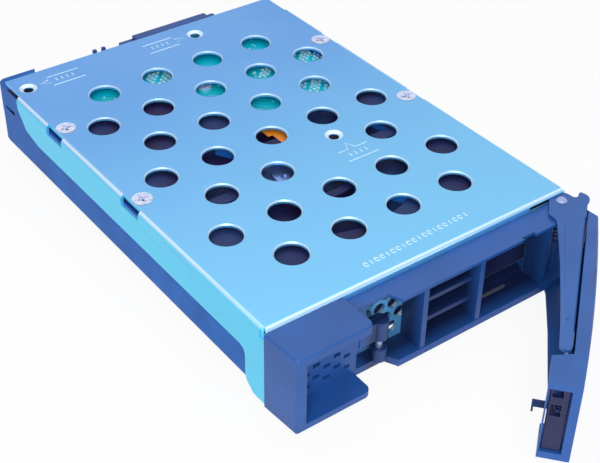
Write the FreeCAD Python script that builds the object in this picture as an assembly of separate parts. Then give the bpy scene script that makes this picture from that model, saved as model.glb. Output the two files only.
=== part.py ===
"""Hot swap drive caddy: a folded tray over a 3.5 inch drive, with a moulded bezel and a locking handle.

Frame: X across the caddy, Y towards the connector end, Z up, in millimetres. The origin lies on the plane
that the caddy rests on, straight below the centre of the four screws that hold the drive. The front of the
caddy faces -Y. The handle is drawn closed, and then turned to its open stop about its pivot.
"""
import FreeCAD, Part
import math
import os

V = FreeCAD.Vector
UP = V(0, 0, 1)

# ---- drive: standard 3.5 inch outline and screw pattern ---------------------------------------------
DRIVE_W = 101.6
DRIVE_L = 147.0
DRIVE_H = 26.1
SCREW_INSET = 3.175
SCREW_DY = 44.45
SCREW_TO_REAR = 41.28
COVER_STEP = 3.8
COVER_SHEET = 0.8
BOSS_RISE = 1.4

# ---- tray: one folded steel sheet ----------------------------------------------------------------------
SHEET = 1.0
SIDE_CLEARANCE = 0.2
BEND_R = 1.5
REAR_SETBACK = 6.2
FRONT_GAP = 2.3
SIDE_DEPTH = 11.5
TAB_DEPTH = 24.4
TAB_LENGTH = 8.4
TONGUE_LENGTH = 10.7
TONGUE_INSET = 1.6
VENT_R = 1.85
HOLE_R = 4.7
HOLE_RIM = 0.4
HOLE_PITCH = 19.05
HOLE_FIELD_START = 20.9
HOLE_FIELD_SHIFT = 0.2
SMALL_DRIVE_DX = 61.72
SMALL_DRIVE_DY = 76.6
SMALL_DRIVE_TO_REAR = 14.0
SMALL_HOLE_R = 1.6
SMALL_HEAD_R = 2.8
SMALL_HEAD_DEPTH = 0.6
TRAY_HEAD_R = 3.0
TRAY_SHANK_R = 1.7
HEAD_DEPTH = 0.9

# ---- bezel: one moulding ---------------------------------------------------------------------------------
LEDGE_DROP = 2.3
ROOF_DROP = 0.9
BEZEL_DEPTH = 8.3
HOOD_DEPTH = 12.6
HOOD_LENGTH = 24.8
HOOD_DRAFT = 0.9
HOOD_FOOT = 1.2
HOOD_WALL = 3.0
HOOD_FLOOR = 2.4
BACK_WALL = 4.4
BEZEL_FOOT = 1.5
TOP_WALL = 1.0
BOTTOM_WALL = 2.2
BAY_1_W = 20.8
BAY_2_SHARE = 0.44
BLOCK_W = 13.6
RIB_T = 1.7
SLAT_T = 1.3
LEDGE_SLITS = 6
KNUCKLE_R = 2.3
PIN_R = 1.25
RUNNING = 0.06

# ---- handle, drawn closed: S runs from the pivot along the handle, P runs forward --------------------
PIVOT_INSET = 4.0
PIVOT_AHEAD = 2.2
OPEN_DEG = 40.0
LEVER_T = 0.8
LEVER_TOP_DROP = 1.25
LEVER_FOOT = 0.45
LEVER_WEB_P = 7.2
LEVER_END_BACK = 12.3
GRIP_TOP_DROP = 1.1
GRIP_FOOT = 0.7
GRIP_END_CLEARANCE = 0.9
GRIP_WALL_P = 7.7
GRIP_INNER_P = 2.5
GRIP_BOW = 11.5
STRIKE_BACK = 8.4
STRIKE_P = 1.5
STRIKE_R = 1.0
CLIP_T = 0.5
CLIP_GAP = 0.35
STOP_BACK = 7.1
BUTTON_TRAVEL = 2.0

# ---- places that follow from the sizes above ----------------------------------------------------------
SCREW_DX = DRIVE_W - 2 * SCREW_INSET
TRAY_TOP = DRIVE_H + SHEET
TRAY_HALF = DRIVE_W / 2 + SIDE_CLEARANCE + SHEET
DRIVE_REAR = SCREW_DY / 2 + SCREW_TO_REAR
DRIVE_FRONT = DRIVE_REAR - DRIVE_L
TRAY_REAR = DRIVE_REAR - REAR_SETBACK
TRAY_FRONT = DRIVE_FRONT - FRONT_GAP - SHEET
BEZEL_FRONT = TRAY_FRONT - BEZEL_DEPTH
HOOD_FRONT = TRAY_FRONT - HOOD_DEPTH
HOOD_RIGHT = -TRAY_HALF + HOOD_LENGTH
RIB_1_X = HOOD_RIGHT + BAY_1_W
BAY_END_X = TRAY_HALF - BLOCK_W
RIB_2_X = RIB_1_X + BAY_2_SHARE * (BAY_END_X - RIB_1_X)
BEZEL_SCREW_Z = TRAY_TOP - 13.1
BACK_FACE = TRAY_FRONT - BACK_WALL
LEDGE = TRAY_TOP - LEDGE_DROP
ROOF = TRAY_TOP - ROOF_DROP
PIVOT = V(TRAY_HALF - PIVOT_INSET, TRAY_FRONT - PIVOT_AHEAD, 0)
LEVER_TOP = TRAY_TOP - LEVER_TOP_DROP
GRIP_TOP = TRAY_TOP - GRIP_TOP_DROP
CASTING_TOP = DRIVE_H - BOSS_RISE
CASTING_FOOT = COVER_STEP + COVER_SHEET
GRIP_END = PIVOT.x - HOOD_RIGHT - GRIP_END_CLEARANCE
LEVER_END = GRIP_END - LEVER_END_BACK
STRIKE_S = GRIP_END - STRIKE_BACK
STOP_S = GRIP_END - STOP_BACK
CLIP_RIVET_S = GRIP_END - 6.3
BOX_START_S = GRIP_END - 9.4
STRIKE_X = PIVOT.x - STRIKE_S
STRIKE_Y = PIVOT.y - STRIKE_P
GAP_LOW = BEZEL_FOOT + BOTTOM_WALL + 3.6
GAP_HIGH = GAP_LOW + 3.3
LATCH_Z = (GAP_LOW + GAP_HIGH) / 2
GRIP_MIDDLE = (GRIP_FOOT + GRIP_TOP) / 2
GUIDE_Z = GRIP_MIDDLE + 3.1
GUIDE_P = 6.2
POST_TOP = TRAY_TOP - 14.0


# ---- small helpers -----------------------------------------------------------------------------------------
def box(x0, x1, y0, y1, z0, z1):
    """A block between two corners."""
    return Part.makeBox(x1 - x0, y1 - y0, z1 - z0, V(x0, y0, z0))


def rod(radius, start, end):
    """A round bar from one point to another."""
    return Part.makeCylinder(radius, (end - start).Length, start, end - start)


def prism(points, z0, z1):
    """A straight-sided plan outline raised from z0 to z1."""
    corners = [V(x, y, z0) for x, y in points]
    return Part.Face(Part.makePolygon(corners + corners[:1])).extrude(V(0, 0, z1 - z0))


def side_prism(points, x0, x1):
    """An outline drawn in Y and Z, carried from x0 to x1."""
    corners = [V(x0, y, z) for y, z in points]
    return Part.Face(Part.makePolygon(corners + corners[:1])).extrude(V(x1 - x0, 0, 0))


def joined(shapes):
    """One solid from touching shapes, with the seams between flat faces removed."""
    return shapes[0].multiFuse(shapes[1:]).removeSplitter()


def rounded(shape, radius, keep):
    """Rounds the edges whose middle point passes the keep test."""
    edges = [e for e in shape.Edges if keep(e.valueAt((e.FirstParameter + e.LastParameter) / 2), e)]
    return shape.makeFillet(radius, edges)


def is_upright(edge):
    """True for a straight edge along Z."""
    ends = edge.Vertexes
    return len(ends) == 2 and abs(ends[0].X - ends[1].X) < 1e-6 and abs(ends[0].Y - ends[1].Y) < 1e-6


def flat_head(x, y, top, length):
    """A tray screw: a thin countersunk head with a cross recess, head up at the height top."""
    head = Part.makeCone(TRAY_SHANK_R, TRAY_HEAD_R, HEAD_DEPTH, V(x, y, top - HEAD_DEPTH))
    shank = Part.makeCylinder(TRAY_SHANK_R, length, V(x, y, top - length))
    arm = TRAY_HEAD_R * 0.55
    slot = TRAY_HEAD_R * 0.13
    deep = top - HEAD_DEPTH * 0.8
    cross = [box(x - arm, x + arm, y - slot, y + slot, deep, top + 1),
             box(x - slot, x + slot, y - arm, y + arm, deep, top + 1)]
    return head.fuse(shank).cut(cross)


def coil(mean_r, wire_r, pitch, turns, base, direction):
    """A helical spring that starts at base and climbs along direction, as short lengths of eight-sided wire."""
    steps = 14
    sides = 8
    rings = []
    for k in range(steps * turns + 1):
        turn = 2 * math.pi * k / steps
        out = V(math.cos(turn), math.sin(turn), 0)
        centre = out * mean_r + UP * (pitch * k / steps)
        corners = [centre + out * (wire_r * math.cos(a)) + UP * (wire_r * math.sin(a))
                   for a in (2 * math.pi * (c + 0.5) / sides for c in range(sides))]
        rings.append(Part.makePolygon(corners + corners[:1]))
    spring = Part.makeLoft(rings, True, True)
    spring.Placement = FreeCAD.Placement(base, FreeCAD.Rotation(UP, direction))
    return spring


def save(name, shape):
    """Writes one node as a STEP file."""
    shape.exportStep(os.path.join("parts", name + ".step"))


# ---- tray --------------------------------------------------------------------------------------------------
def round_hole_places():
    """Centres of the staggered cooling holes: rows of half steps, counted from the front."""
    first_x = HOLE_FIELD_SHIFT - 2 * HOLE_PITCH
    first_y = TRAY_FRONT + HOLE_FIELD_START
    rows = [(1, 3, 5, 7), (0, 2, 4, 6, 8), (1, 3, 7), (0, 2, 4, 6, 8), (1, 3, 5, 7), (0, 2, 4, 6, 8), (1, 3, 5, 7)]
    row_step = HOLE_PITCH * math.sqrt(3) / 2
    return [(first_x + step * HOLE_PITCH / 2, first_y + row * row_step)
            for row, steps in enumerate(rows) for step in steps]


def tray_screw_places():
    """Centres of the four screws that hold the drive."""
    return [(sx * SCREW_DX / 2, sy * SCREW_DY / 2) for sy in (-1, 1) for sx in (-1, 1)]


def small_drive_places():
    """Centres of the three countersunk holes for a 2.5 inch drive."""
    left = 1.3 - SCREW_DX / 2
    rear = DRIVE_REAR - SMALL_DRIVE_TO_REAR
    return [(left, rear), (left + SMALL_DRIVE_DX, rear), (left + SMALL_DRIVE_DX, rear - SMALL_DRIVE_DY)]


def vent_places():
    """Centres of the small perforations in the tray's front flange: X and Z of a staggered field."""
    pitch = 4.7
    row_step = pitch * math.sqrt(3) / 2
    places = []
    for row in range(4):
        first = RIB_1_X - VENT_R - pitch / 2 * (row % 2)
        places += [(first - pitch * k, TRAY_TOP - 7.1 - row * row_step) for k in range(8)]
    return places


def folded_blank():
    """Top plate with its two side flanges and the front flange, before any hole is punched."""
    def bends(radius):
        return lambda mid, edge: mid.z > TRAY_TOP - SHEET - 1e-6 and mid.y < TRAY_REAR - 1e-6
    outer = box(-TRAY_HALF, TRAY_HALF, TRAY_FRONT, TRAY_REAR, TRAY_TOP - TAB_DEPTH, TRAY_TOP)
    outer = rounded(outer, BEND_R, bends(BEND_R))
    half = TRAY_HALF - SHEET
    inner = box(-half, half, TRAY_FRONT + SHEET, TRAY_REAR + 5, TRAY_TOP - TAB_DEPTH - 1, TRAY_TOP - SHEET)
    inner = rounded(inner, BEND_R - SHEET,
                    lambda mid, edge: mid.z > TRAY_TOP - SHEET - 1e-6 and mid.y < TRAY_REAR + 5 - 1e-6)
    return outer.cut(inner)


def flange_trim():
    """What is cut from below the side flanges: shallow sides, with a deep tab left at the front."""
    line = TRAY_TOP - SIDE_DEPTH
    tab = TRAY_FRONT + TAB_LENGTH
    foot = TRAY_TOP - TAB_DEPTH
    end = TRAY_REAR - TONGUE_LENGTH
    points = [(tab - 3.6, foot - 1), (tab - 3.6, foot), (tab - 0.6, foot + 2.4), (tab, foot + 4.4),
              (tab, line - 2.0), (tab + 0.8, line - 0.6), (tab + 2.4, line), (end - 12.2, line),
              (end - 4.5, line + 1.9), (end, line + 7.5), (end, TRAY_TOP - BEND_R),
              (TRAY_REAR + 1, TRAY_TOP - BEND_R), (TRAY_REAR + 1, foot - 1)]
    return side_prism(points, -TRAY_HALF - 1, TRAY_HALF + 1)


def make_tray():
    """The folded sheet with every hole, slot and relief."""
    tray = folded_blank().cut(flange_trim())
    cuts = []
    end = TRAY_REAR - TONGUE_LENGTH
    for side in (-1, 1):
        edge = side * TRAY_HALF
        inset = side * (TRAY_HALF - TONGUE_INSET)
        low, high = sorted((inset, edge + side))
        cuts.append(box(low, high, end, TRAY_REAR + 1, TRAY_TOP - 5, TRAY_TOP + 1))
        for sy in (-1, 1):
            low, high = sorted((side * (TRAY_HALF - 1.3), edge + side))
            middle = sy * SCREW_DY / 2
            cuts.append(box(low, high, middle - 4.7, middle + 4.7, TRAY_TOP - 3.0, TRAY_TOP + 1))
        cuts.append(rod(0.9, V(edge - side * 0.2, TRAY_FRONT + 1.0, TRAY_TOP - 3.2),
                        V(edge - side * 0.2, TRAY_FRONT + 1.0, TRAY_TOP + 1)))
        low, high = sorted((side * (TRAY_HALF - SHEET - 0.5), side * (TRAY_HALF - SHEET)))
        cuts.append(box(low, high, TRAY_FRONT - 1, TRAY_FRONT + SHEET + 0.1, 0, TRAY_TOP - BEND_R - 1))
    for x, y in round_hole_places():
        cuts.append(rod(HOLE_R, V(x, y, TRAY_TOP - 2), V(x, y, TRAY_TOP + 1)))
        cuts.append(Part.makeCone(HOLE_R, HOLE_R + HOLE_RIM, HOLE_RIM, V(x, y, TRAY_TOP - HOLE_RIM)))
    for x, y in small_drive_places():
        cuts.append(rod(SMALL_HOLE_R, V(x, y, TRAY_TOP - 2), V(x, y, TRAY_TOP + 1)))
        seat = V(x, y, TRAY_TOP - SMALL_HEAD_DEPTH)
        cuts.append(Part.makeCone(SMALL_HOLE_R, SMALL_HEAD_R, SMALL_HEAD_DEPTH, seat))
    for x, y in tray_screw_places():
        seat = V(x, y, TRAY_TOP - HEAD_DEPTH)
        cuts.append(Part.makeCone(TRAY_SHANK_R + 0.05, TRAY_HEAD_R + 0.05, HEAD_DEPTH, seat))
        cuts.append(rod(TRAY_SHANK_R + 0.05, V(x, y, TRAY_TOP - 3), V(x, y, TRAY_TOP)))
    for x, z in vent_places():
        cuts.append(rod(VENT_R, V(x, TRAY_FRONT - 1, z), V(x, TRAY_FRONT + SHEET + 1, z)))
    cuts.append(box(RIB_1_X + 2.4, BAY_END_X - 1.0, TRAY_FRONT - 1, TRAY_FRONT + SHEET + 1, 5.0, LEDGE - 2.2))
    lobe_reach = 3.4 + 0.6
    cuts.append(box(PIVOT.x - 10.0, TRAY_HALF + 1, TRAY_FRONT - 1, PIVOT.y + lobe_reach,
                    LEDGE - 0.5, TRAY_TOP - SHEET))
    for x, z in bezel_screw_places():
        cuts.append(rod(1.35, V(x, TRAY_FRONT - 1, z), V(x, TRAY_FRONT + SHEET + 1, z)))
    return tray.cut(cuts)


def make_tray_screws():
    """Four identical flat-head screws."""
    return Part.makeCompound([flat_head(x, y, TRAY_TOP, 5.0) for x, y in tray_screw_places()])


# ---- bezel -------------------------------------------------------------------------------------------------
def bezel_screw_places():
    """X and Z of the two screws that hold the bezel to the tray's front flange."""
    return [(-TRAY_HALF + 5.2, BEZEL_SCREW_Z), (BAY_END_X + 3.2, BEZEL_SCREW_Z)]


def ledge_outline():
    """Plan of the top and bottom walls: recessed beside the hood, slanted out, and round at the pivot."""
    step_x = STRIKE_X + 1.3
    start = [V(HOOD_RIGHT - 1, TRAY_FRONT, 0), V(HOOD_RIGHT - 1, BACK_FACE, 0), V(step_x, BACK_FACE, 0),
             V(step_x + 2.0, BEZEL_FRONT, 0), V(PIVOT.x - 1.0, BEZEL_FRONT, 0)]
    right = TRAY_HALF - 0.2
    reach = PIVOT.y - BEZEL_FRONT
    bulge = V(PIVOT.x + reach * 0.53, PIVOT.y - reach * 0.8, 0)
    curve = Part.Arc(start[-1], bulge, V(right, PIVOT.y - 3.4, 0)).toShape()
    end = [V(right, PIVOT.y - 3.4, 0), V(right, TRAY_FRONT, 0), start[0]]
    edges = [Part.makeLine(a, b) for a, b in zip(start[:-1], start[1:])]
    edges.append(curve)
    edges += [Part.makeLine(a, b) for a, b in zip(end[:-1], end[1:])]
    return Part.Face(Part.Wire(edges))


def wall_from_outline(z0, z1):
    """The ledge outline raised between two heights."""
    plate = ledge_outline().extrude(V(0, 0, z1 - z0))
    plate.translate(V(0, 0, z0))
    return plate


def make_hood():
    """The fixed block at the left: a pocket open to the front and to the handle, with a vented back wall."""
    left = -TRAY_HALF
    block = prism([(left, TRAY_FRONT), (left + HOOD_DRAFT, HOOD_FRONT), (HOOD_RIGHT, HOOD_FRONT),
                   (HOOD_RIGHT, TRAY_FRONT)], HOOD_FOOT, ROOF)
    block = rounded(block, 2.0, lambda mid, e: is_upright(e) and mid.x > HOOD_RIGHT - 1 and mid.y < BEZEL_FRONT)
    block = rounded(block, 0.8, lambda mid, e: mid.y < TRAY_FRONT - 0.5 and mid.x < HOOD_RIGHT - 2.2)
    pocket = box(left + HOOD_DRAFT + HOOD_WALL, HOOD_RIGHT + 1, HOOD_FRONT - 1, BACK_FACE,
                 HOOD_FOOT + HOOD_FLOOR, ROOF - HOOD_WALL)
    slots = []
    for column in range(5):
        x = HOOD_RIGHT - 1.9 - 3.3 * column
        lift = 0.0 if column % 2 == 0 else 1.95
        for row in range(4):
            z = HOOD_FOOT + 5.2 + lift + 3.9 * row
            slots.append(box(x - 1.1, x + 1.1, BACK_FACE - 1, TRAY_FRONT + 1, z - 0.6, z + 0.6))
    return block.cut([pocket] + slots)


def make_bezel():
    """Hood, ledge, floor, ribs, slats, knuckles and the pivot end as one moulding."""
    floor_z = BEZEL_FOOT + BOTTOM_WALL
    roof_z = LEDGE - TOP_WALL
    pieces = [make_hood(), wall_from_outline(roof_z, LEDGE), wall_from_outline(BEZEL_FOOT, floor_z)]
    pieces.append(box(HOOD_RIGHT - 1, HOOD_RIGHT + 1.2, BACK_FACE, TRAY_FRONT, floor_z - 0.5, roof_z + 0.5))
    pieces.append(box(HOOD_RIGHT - 1, HOOD_RIGHT + 3.9, BACK_FACE, TRAY_FRONT, GAP_HIGH - 0.6, roof_z + 0.5))
    for x in (RIB_1_X, RIB_2_X):
        pieces.append(box(x - RIB_T / 2, x + RIB_T / 2, BEZEL_FRONT + 0.2, TRAY_FRONT, floor_z - 0.5, roof_z + 0.5))
    clear_height = roof_z - floor_z
    for share in (1, 2):
        top = floor_z + clear_height * share / 3
        pieces.append(box(RIB_1_X, RIB_2_X, TRAY_FRONT - 5.1, TRAY_FRONT - 0.4, top - SLAT_T, top))
    pieces.append(box(BAY_END_X, BAY_END_X + 1.5, BEZEL_FRONT + 1.0, TRAY_FRONT, floor_z - 0.5, roof_z + 0.5))
    pieces.append(box(BAY_END_X, BAY_END_X + 6.0, TRAY_FRONT - 4.0, TRAY_FRONT, floor_z - 0.5, roof_z + 0.5))
    pieces.append(box(TRAY_HALF - 1.7, TRAY_HALF - 0.2, PIVOT.y - 2.4, TRAY_FRONT, floor_z - 0.5, roof_z + 0.5))
    strike = V(STRIKE_X, STRIKE_Y, 0)
    pieces.append(rod(KNUCKLE_R, strike + UP * (floor_z - 0.5), strike + UP * GAP_LOW))
    pieces.append(rod(KNUCKLE_R, strike + UP * GAP_HIGH, strike + UP * (GAP_HIGH + 6.0)))
    pieces.append(box(HOOD_RIGHT + 2, STRIKE_X, STRIKE_Y - 1.0, TRAY_FRONT - 1.4, GAP_HIGH, GAP_HIGH + 6.0))
    post = rod(PIN_R + 1.6, PIVOT + UP * (floor_z - 0.5), PIVOT + UP * POST_TOP)
    pieces.append(post.common(box(0, TRAY_HALF, PIVOT.y - 5, TRAY_FRONT, 0, TRAY_TOP)))
    bezel = joined(pieces)
    cuts = [rod(PIN_R + 0.01, PIVOT, PIVOT + UP * TRAY_TOP),
            rod(STRIKE_R + 0.01, strike + UP * (floor_z - 0.8), strike + UP * (GAP_HIGH + 4.0)),
            box(BAY_END_X - 10.6, BAY_END_X - 6.0, BEZEL_FRONT - 1, BEZEL_FRONT + 1.0, roof_z - 1, LEDGE + 1),
            box(RIB_2_X + 2.2, BAY_END_X - 6.8, BACK_FACE, TRAY_FRONT - 1.2, 0, floor_z + 1)]
    for x, z in bezel_screw_places():
        cuts.append(rod(1.0, V(x, TRAY_FRONT + 1, z), V(x, TRAY_FRONT - 3.4, z)))
    slit = (PIVOT.x - 6.0 - HOOD_RIGHT) / LEDGE_SLITS
    for k in range(LEDGE_SLITS):
        x = HOOD_RIGHT + 2.0 + slit * k
        cuts.append(box(x, x + slit - 2.4, TRAY_FRONT - 0.35, TRAY_FRONT + 1, LEDGE - 0.6, LEDGE + 1))
    return bezel.cut(cuts)


def make_bezel_screws():
    """Two pan-head screws driven from behind the front flange into the bezel."""
    screws = []
    for x, z in bezel_screw_places():
        inner = TRAY_FRONT + SHEET
        head = rod(2.1, V(x, inner, z), V(x, inner + 1.2, z))
        shank = rod(1.0, V(x, inner, z), V(x, TRAY_FRONT - 3.2, z))
        slot = box(x - 1.3, x + 1.3, inner + 0.7, inner + 2, z - 0.25, z + 0.25)
        cross = box(x - 0.25, x + 0.25, inner + 0.7, inner + 2, z - 1.3, z + 1.3)
        screws.append(head.fuse(shank).cut([slot, cross]))
    return Part.makeCompound(screws)


def make_strike_pin():
    """Steel pin held in the two knuckles, which the latch catches on."""
    foot = V(STRIKE_X, STRIKE_Y, BEZEL_FOOT + BOTTOM_WALL - 0.7)
    return rod(STRIKE_R, foot, V(STRIKE_X, STRIKE_Y, GAP_HIGH + 3.9))


# ---- handle ------------------------------------------------------------------------------------------------
def place(s, p, z=0.0):
    """A point of the closed handle: s along it from the pivot, p ahead of the pivot."""
    return V(PIVOT.x - s, PIVOT.y - p, z)


def handle_box(s0, s1, p0, p1, z0, z1):
    """A block in the closed handle's own directions."""
    return box(PIVOT.x - s1, PIVOT.x - s0, PIVOT.y - p1, PIVOT.y - p0, z0, z1)


def opened(shape):
    """Turns a piece of the handle from closed to its open stop."""
    turned = shape.copy()
    turned.rotate(PIVOT, UP, OPEN_DEG)
    return turned


def outline_face(start, steps):
    """A face from lines and three-point arcs; each step is an end point, or a middle and an end point."""
    edges = []
    here = start
    for step in steps:
        if len(step) == 2:
            there = place(*step)
            edges.append(Part.makeLine(here, there))
        else:
            there = place(*step[2:])
            edges.append(Part.Arc(here, place(*step[:2]), there).toShape())
        here = there
    return Part.Face(Part.Wire(edges))


def lever_leaf():
    """Plan of one leaf: a lobe round the pivot, the tooth that levers on the chassis, and a tapering arm."""
    web = LEVER_WEB_P
    return outline_face(place(7.4, -2.9), [
        (0.4, -3.4), (-3.3, -2.6, -4.1, 0.0), (-3.6, 1.5, -2.8, 2.6), (-2.5, 3.6, -3.0, 4.3), (-4.7, 4.5),
        (-5.2, 4.8, -5.1, 5.5), (-4.3, 6.9, -2.7, 7.6), (-1.7, 7.6, -0.9, web), (6.2, web),
        (LEVER_END - 6.0, web),
        (LEVER_END - 0.8, web - 0.2), (LEVER_END, web - 0.9, LEVER_END, web - 1.7),
        (LEVER_END - 0.3, 4.5, LEVER_END - 1.4, 4.0), (LEVER_END - 11.8, 3.5), (27.5, 1.6), (11.4, -0.3), (9.4, -0.8), (7.4, -2.9)])


def handle_rib(z, height):
    """The long stiffening bead along a leaf, tapered at both ends."""
    end = LEVER_END - 11.0
    face = outline_face(place(8.0, 2.6), [
        (8.6, 3.7), (end - 1.0, 5.4), (end, 5.0), (end - 0.8, 4.5), (9.5, 1.7), (8.0, 2.6)])
    rib = face.extrude(V(0, 0, height))
    rib.translate(V(0, 0, z))
    return rib


def bend_cut(z, inward):
    """What rounds the outside of the fold between a leaf and the web; inward is the sign of Z into the lever."""
    radius = LEVER_T
    start = 6.4
    end = LEVER_END - 7.0
    low, high = sorted((z - inward, z + inward * radius))
    corner = handle_box(start, end, LEVER_WEB_P - radius, LEVER_WEB_P + 1, low, high)
    axis_z = z + inward * radius
    return corner.cut(rod(radius, place(start - 1, LEVER_WEB_P - radius, axis_z),
                          place(end + 1, LEVER_WEB_P - radius, axis_z)))


def make_handle_lever():
    """Folded steel channel: two leaves joined by a web behind the grip's front wall."""
    low = lever_leaf().extrude(V(0, 0, LEVER_T))
    low.translate(V(0, 0, LEVER_FOOT))
    high = lever_leaf().extrude(V(0, 0, LEVER_T))
    high.translate(V(0, 0, LEVER_TOP - LEVER_T))
    web = handle_box(6.4, LEVER_END - 2.0, LEVER_WEB_P - LEVER_T, LEVER_WEB_P, LEVER_FOOT + 0.2, LEVER_TOP - 0.2)
    bead = [handle_rib(LEVER_TOP, 0.2), handle_rib(LEVER_FOOT - 0.2, 0.2)]
    lever = joined([low, high, web] + bead)
    cuts = [rod(PIN_R + RUNNING, PIVOT, PIVOT + UP * TRAY_TOP), bend_cut(LEVER_TOP, -1), bend_cut(LEVER_FOOT, 1)]
    for s in rivet_places():
        cuts.append(rod(1.0 + 0.02, place(s, LEVER_WEB_P - 3, GRIP_MIDDLE), place(s, LEVER_WEB_P + 0.5, GRIP_MIDDLE)))
    return opened(lever.cut(cuts))


def rivet_places():
    """Places along the handle of the two rivets that hold the grip on the lever."""
    return (21.0, 44.0)


def make_grip():
    """Moulded grip: a bowed front wall with a boxed end that frames the release button."""
    bow = GRIP_BOW
    outer = outline_face(place(2.9, GRIP_WALL_P - 0.6), [
        (5.4, 10.4), (40.0 / 74.3 * GRIP_END, bow, GRIP_END, bow - 0.85), (GRIP_END, GRIP_INNER_P),
        (BOX_START_S, GRIP_INNER_P), (BOX_START_S - 1.7, GRIP_WALL_P), (3.6, GRIP_WALL_P),
        (2.9, GRIP_WALL_P - 0.6)])
    grip = outer.extrude(V(0, 0, GRIP_TOP - GRIP_FOOT))
    grip.translate(V(0, 0, GRIP_FOOT))
    grip = rounded(grip, 0.5, lambda mid, e: not is_upright(e) and (PIVOT.y - mid.y) > bow - 1.6)
    wall = 2.2
    low = GRIP_FOOT + wall
    high = GRIP_TOP - wall
    hollow = handle_box(BOX_START_S - 4.9, GRIP_END - 1.5, GRIP_INNER_P - 1, GRIP_WALL_P + 0.5, low, high)
    window = handle_box(GRIP_END - 2, GRIP_END + 1, GRIP_INNER_P + 0.4, 8.4, low, high)
    grip = grip.cut([hollow, window])
    pads = [rod(2.2, place(s, LEVER_WEB_P, GRIP_MIDDLE), place(s, GRIP_WALL_P + 0.5, GRIP_MIDDLE))
            for s in rivet_places()]
    stop = handle_box(STOP_S - 1.0, STOP_S, GUIDE_P - 1.8, GRIP_WALL_P + 1, GUIDE_Z - 4.0, GUIDE_Z + 4.0)
    grip = joined([grip, stop] + pads)
    holes = [rod(1.0 + 0.01, place(s, LEVER_WEB_P - 1, GRIP_MIDDLE), place(s, GRIP_WALL_P + 2.2, GRIP_MIDDLE))
             for s in rivet_places()]
    start = place(CLIP_RIVET_S, GRIP_WALL_P - 1, LATCH_Z)
    holes.append(rod(0.8, start, place(CLIP_RIVET_S, GRIP_WALL_P + 2.2, LATCH_Z)))
    return opened(grip.cut(holes))


def make_grip_rivets():
    """Two rivets through the lever's web into the grip."""
    z = GRIP_MIDDLE
    rivets = []
    for s in rivet_places():
        head_p = LEVER_WEB_P - LEVER_T
        shank = rod(1.0, place(s, head_p, z), place(s, GRIP_WALL_P + 2.0, z))
        rivets.append(shank.fuse(rod(1.7, place(s, head_p - 0.5, z), place(s, head_p, z))))
    return opened(Part.makeCompound(rivets))


def make_pivot_pin():
    """Pivot rivet through both leaves and the bezel, with a low domed head at each end."""
    foot = LEVER_FOOT - 0.05
    top = LEVER_TOP + 0.05
    pin = rod(PIN_R, PIVOT + UP * foot, PIVOT + UP * top)
    upper = Part.makeCone(1.6, 1.1, 0.45, PIVOT + UP * top)
    lower = Part.makeCone(1.3, 1.6, 0.25, PIVOT + UP * (foot - 0.25))
    return joined([pin, upper, lower])


def make_handle_spring():
    """Torsion spring round the pivot that throws the handle open."""
    wire = 0.25
    return coil(PIN_R + 0.2 + wire, wire, 1.3, 6, PIVOT + UP * (POST_TOP + 0.1 + wire), UP)


def make_latch_clip():
    """Spring-steel clip in the grip: its hooked end snaps behind the strike pin."""
    arm = STRIKE_S - STRIKE_R - CLIP_GAP
    hook = STRIKE_P - STRIKE_R - CLIP_GAP
    foot_p = GRIP_WALL_P + CLIP_T
    low = LATCH_Z - 1.1
    high = LATCH_Z + 1.1
    pieces = [handle_box(arm - CLIP_T, CLIP_RIVET_S + 2.2, GRIP_WALL_P, foot_p, low, high),
              handle_box(arm - CLIP_T, arm, hook - CLIP_T, foot_p, low, high),
              handle_box(arm - CLIP_T, STRIKE_S + 0.4, hook - CLIP_T, hook, low, high)]
    clip = joined(pieces)
    hole = rod(0.82, place(CLIP_RIVET_S, foot_p - 2, LATCH_Z), place(CLIP_RIVET_S, foot_p + 1, LATCH_Z))
    return opened(clip.cut(hole))


def make_clip_rivet():
    """Small rivet that holds the latch clip to the grip's front wall."""
    z = LATCH_Z
    s = CLIP_RIVET_S
    shank = rod(0.8, place(s, GRIP_WALL_P, z), place(s, GRIP_WALL_P + 2.1, z))
    head = rod(1.05, place(s, GRIP_WALL_P - 0.4, z), place(s, GRIP_WALL_P, z))
    return opened(shank.fuse(head))


def make_release_button():
    """Slider in the handle's end: a panel with two windows and a finger that bends the clip off the pin."""
    back = GRIP_END - 2.0
    face = GRIP_END - 0.6
    inner = GRIP_INNER_P + 0.7
    outer = 8.1
    low = GRIP_FOOT + 2.5
    high = GRIP_TOP - 2.5
    panel = handle_box(back, face, inner, outer, low, high)
    panel = rounded(panel, 0.4, lambda mid, e: abs((PIVOT.x - mid.x) - face) < 1e-6)
    z = LATCH_Z
    tip = STRIKE_S - STRIKE_R - CLIP_GAP + 0.3
    finger = handle_box(tip, back + 0.2, 4.1, 5.5, z - 1.0, z + 1.0)
    guide = rod(0.9, place(back + 0.2, GUIDE_P, GUIDE_Z), place(back - 2.2, GUIDE_P, GUIDE_Z))
    windows = [handle_box(back - 1, face + 1, 3.9, 6.5, GRIP_TOP - 5.2, GRIP_TOP - 2.9),
               handle_box(back - 1, face + 1, 3.9, 6.5, GRIP_TOP - 11.3, GRIP_TOP - 7.6)]
    return opened(joined([panel, finger, guide]).cut(windows))


def make_button_spring():
    """Compression spring between the grip's stop and the button, round the button's guide."""
    wire = 0.2
    turns = 5
    start = place(GRIP_END - 2.05 - wire, GUIDE_P, GUIDE_Z)
    length = GRIP_END - 2.1 - STOP_S - 2 * wire
    return opened(coil(0.9 + 0.25 + wire, wire, length / turns, turns, start, V(1, 0, 0)))


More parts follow.
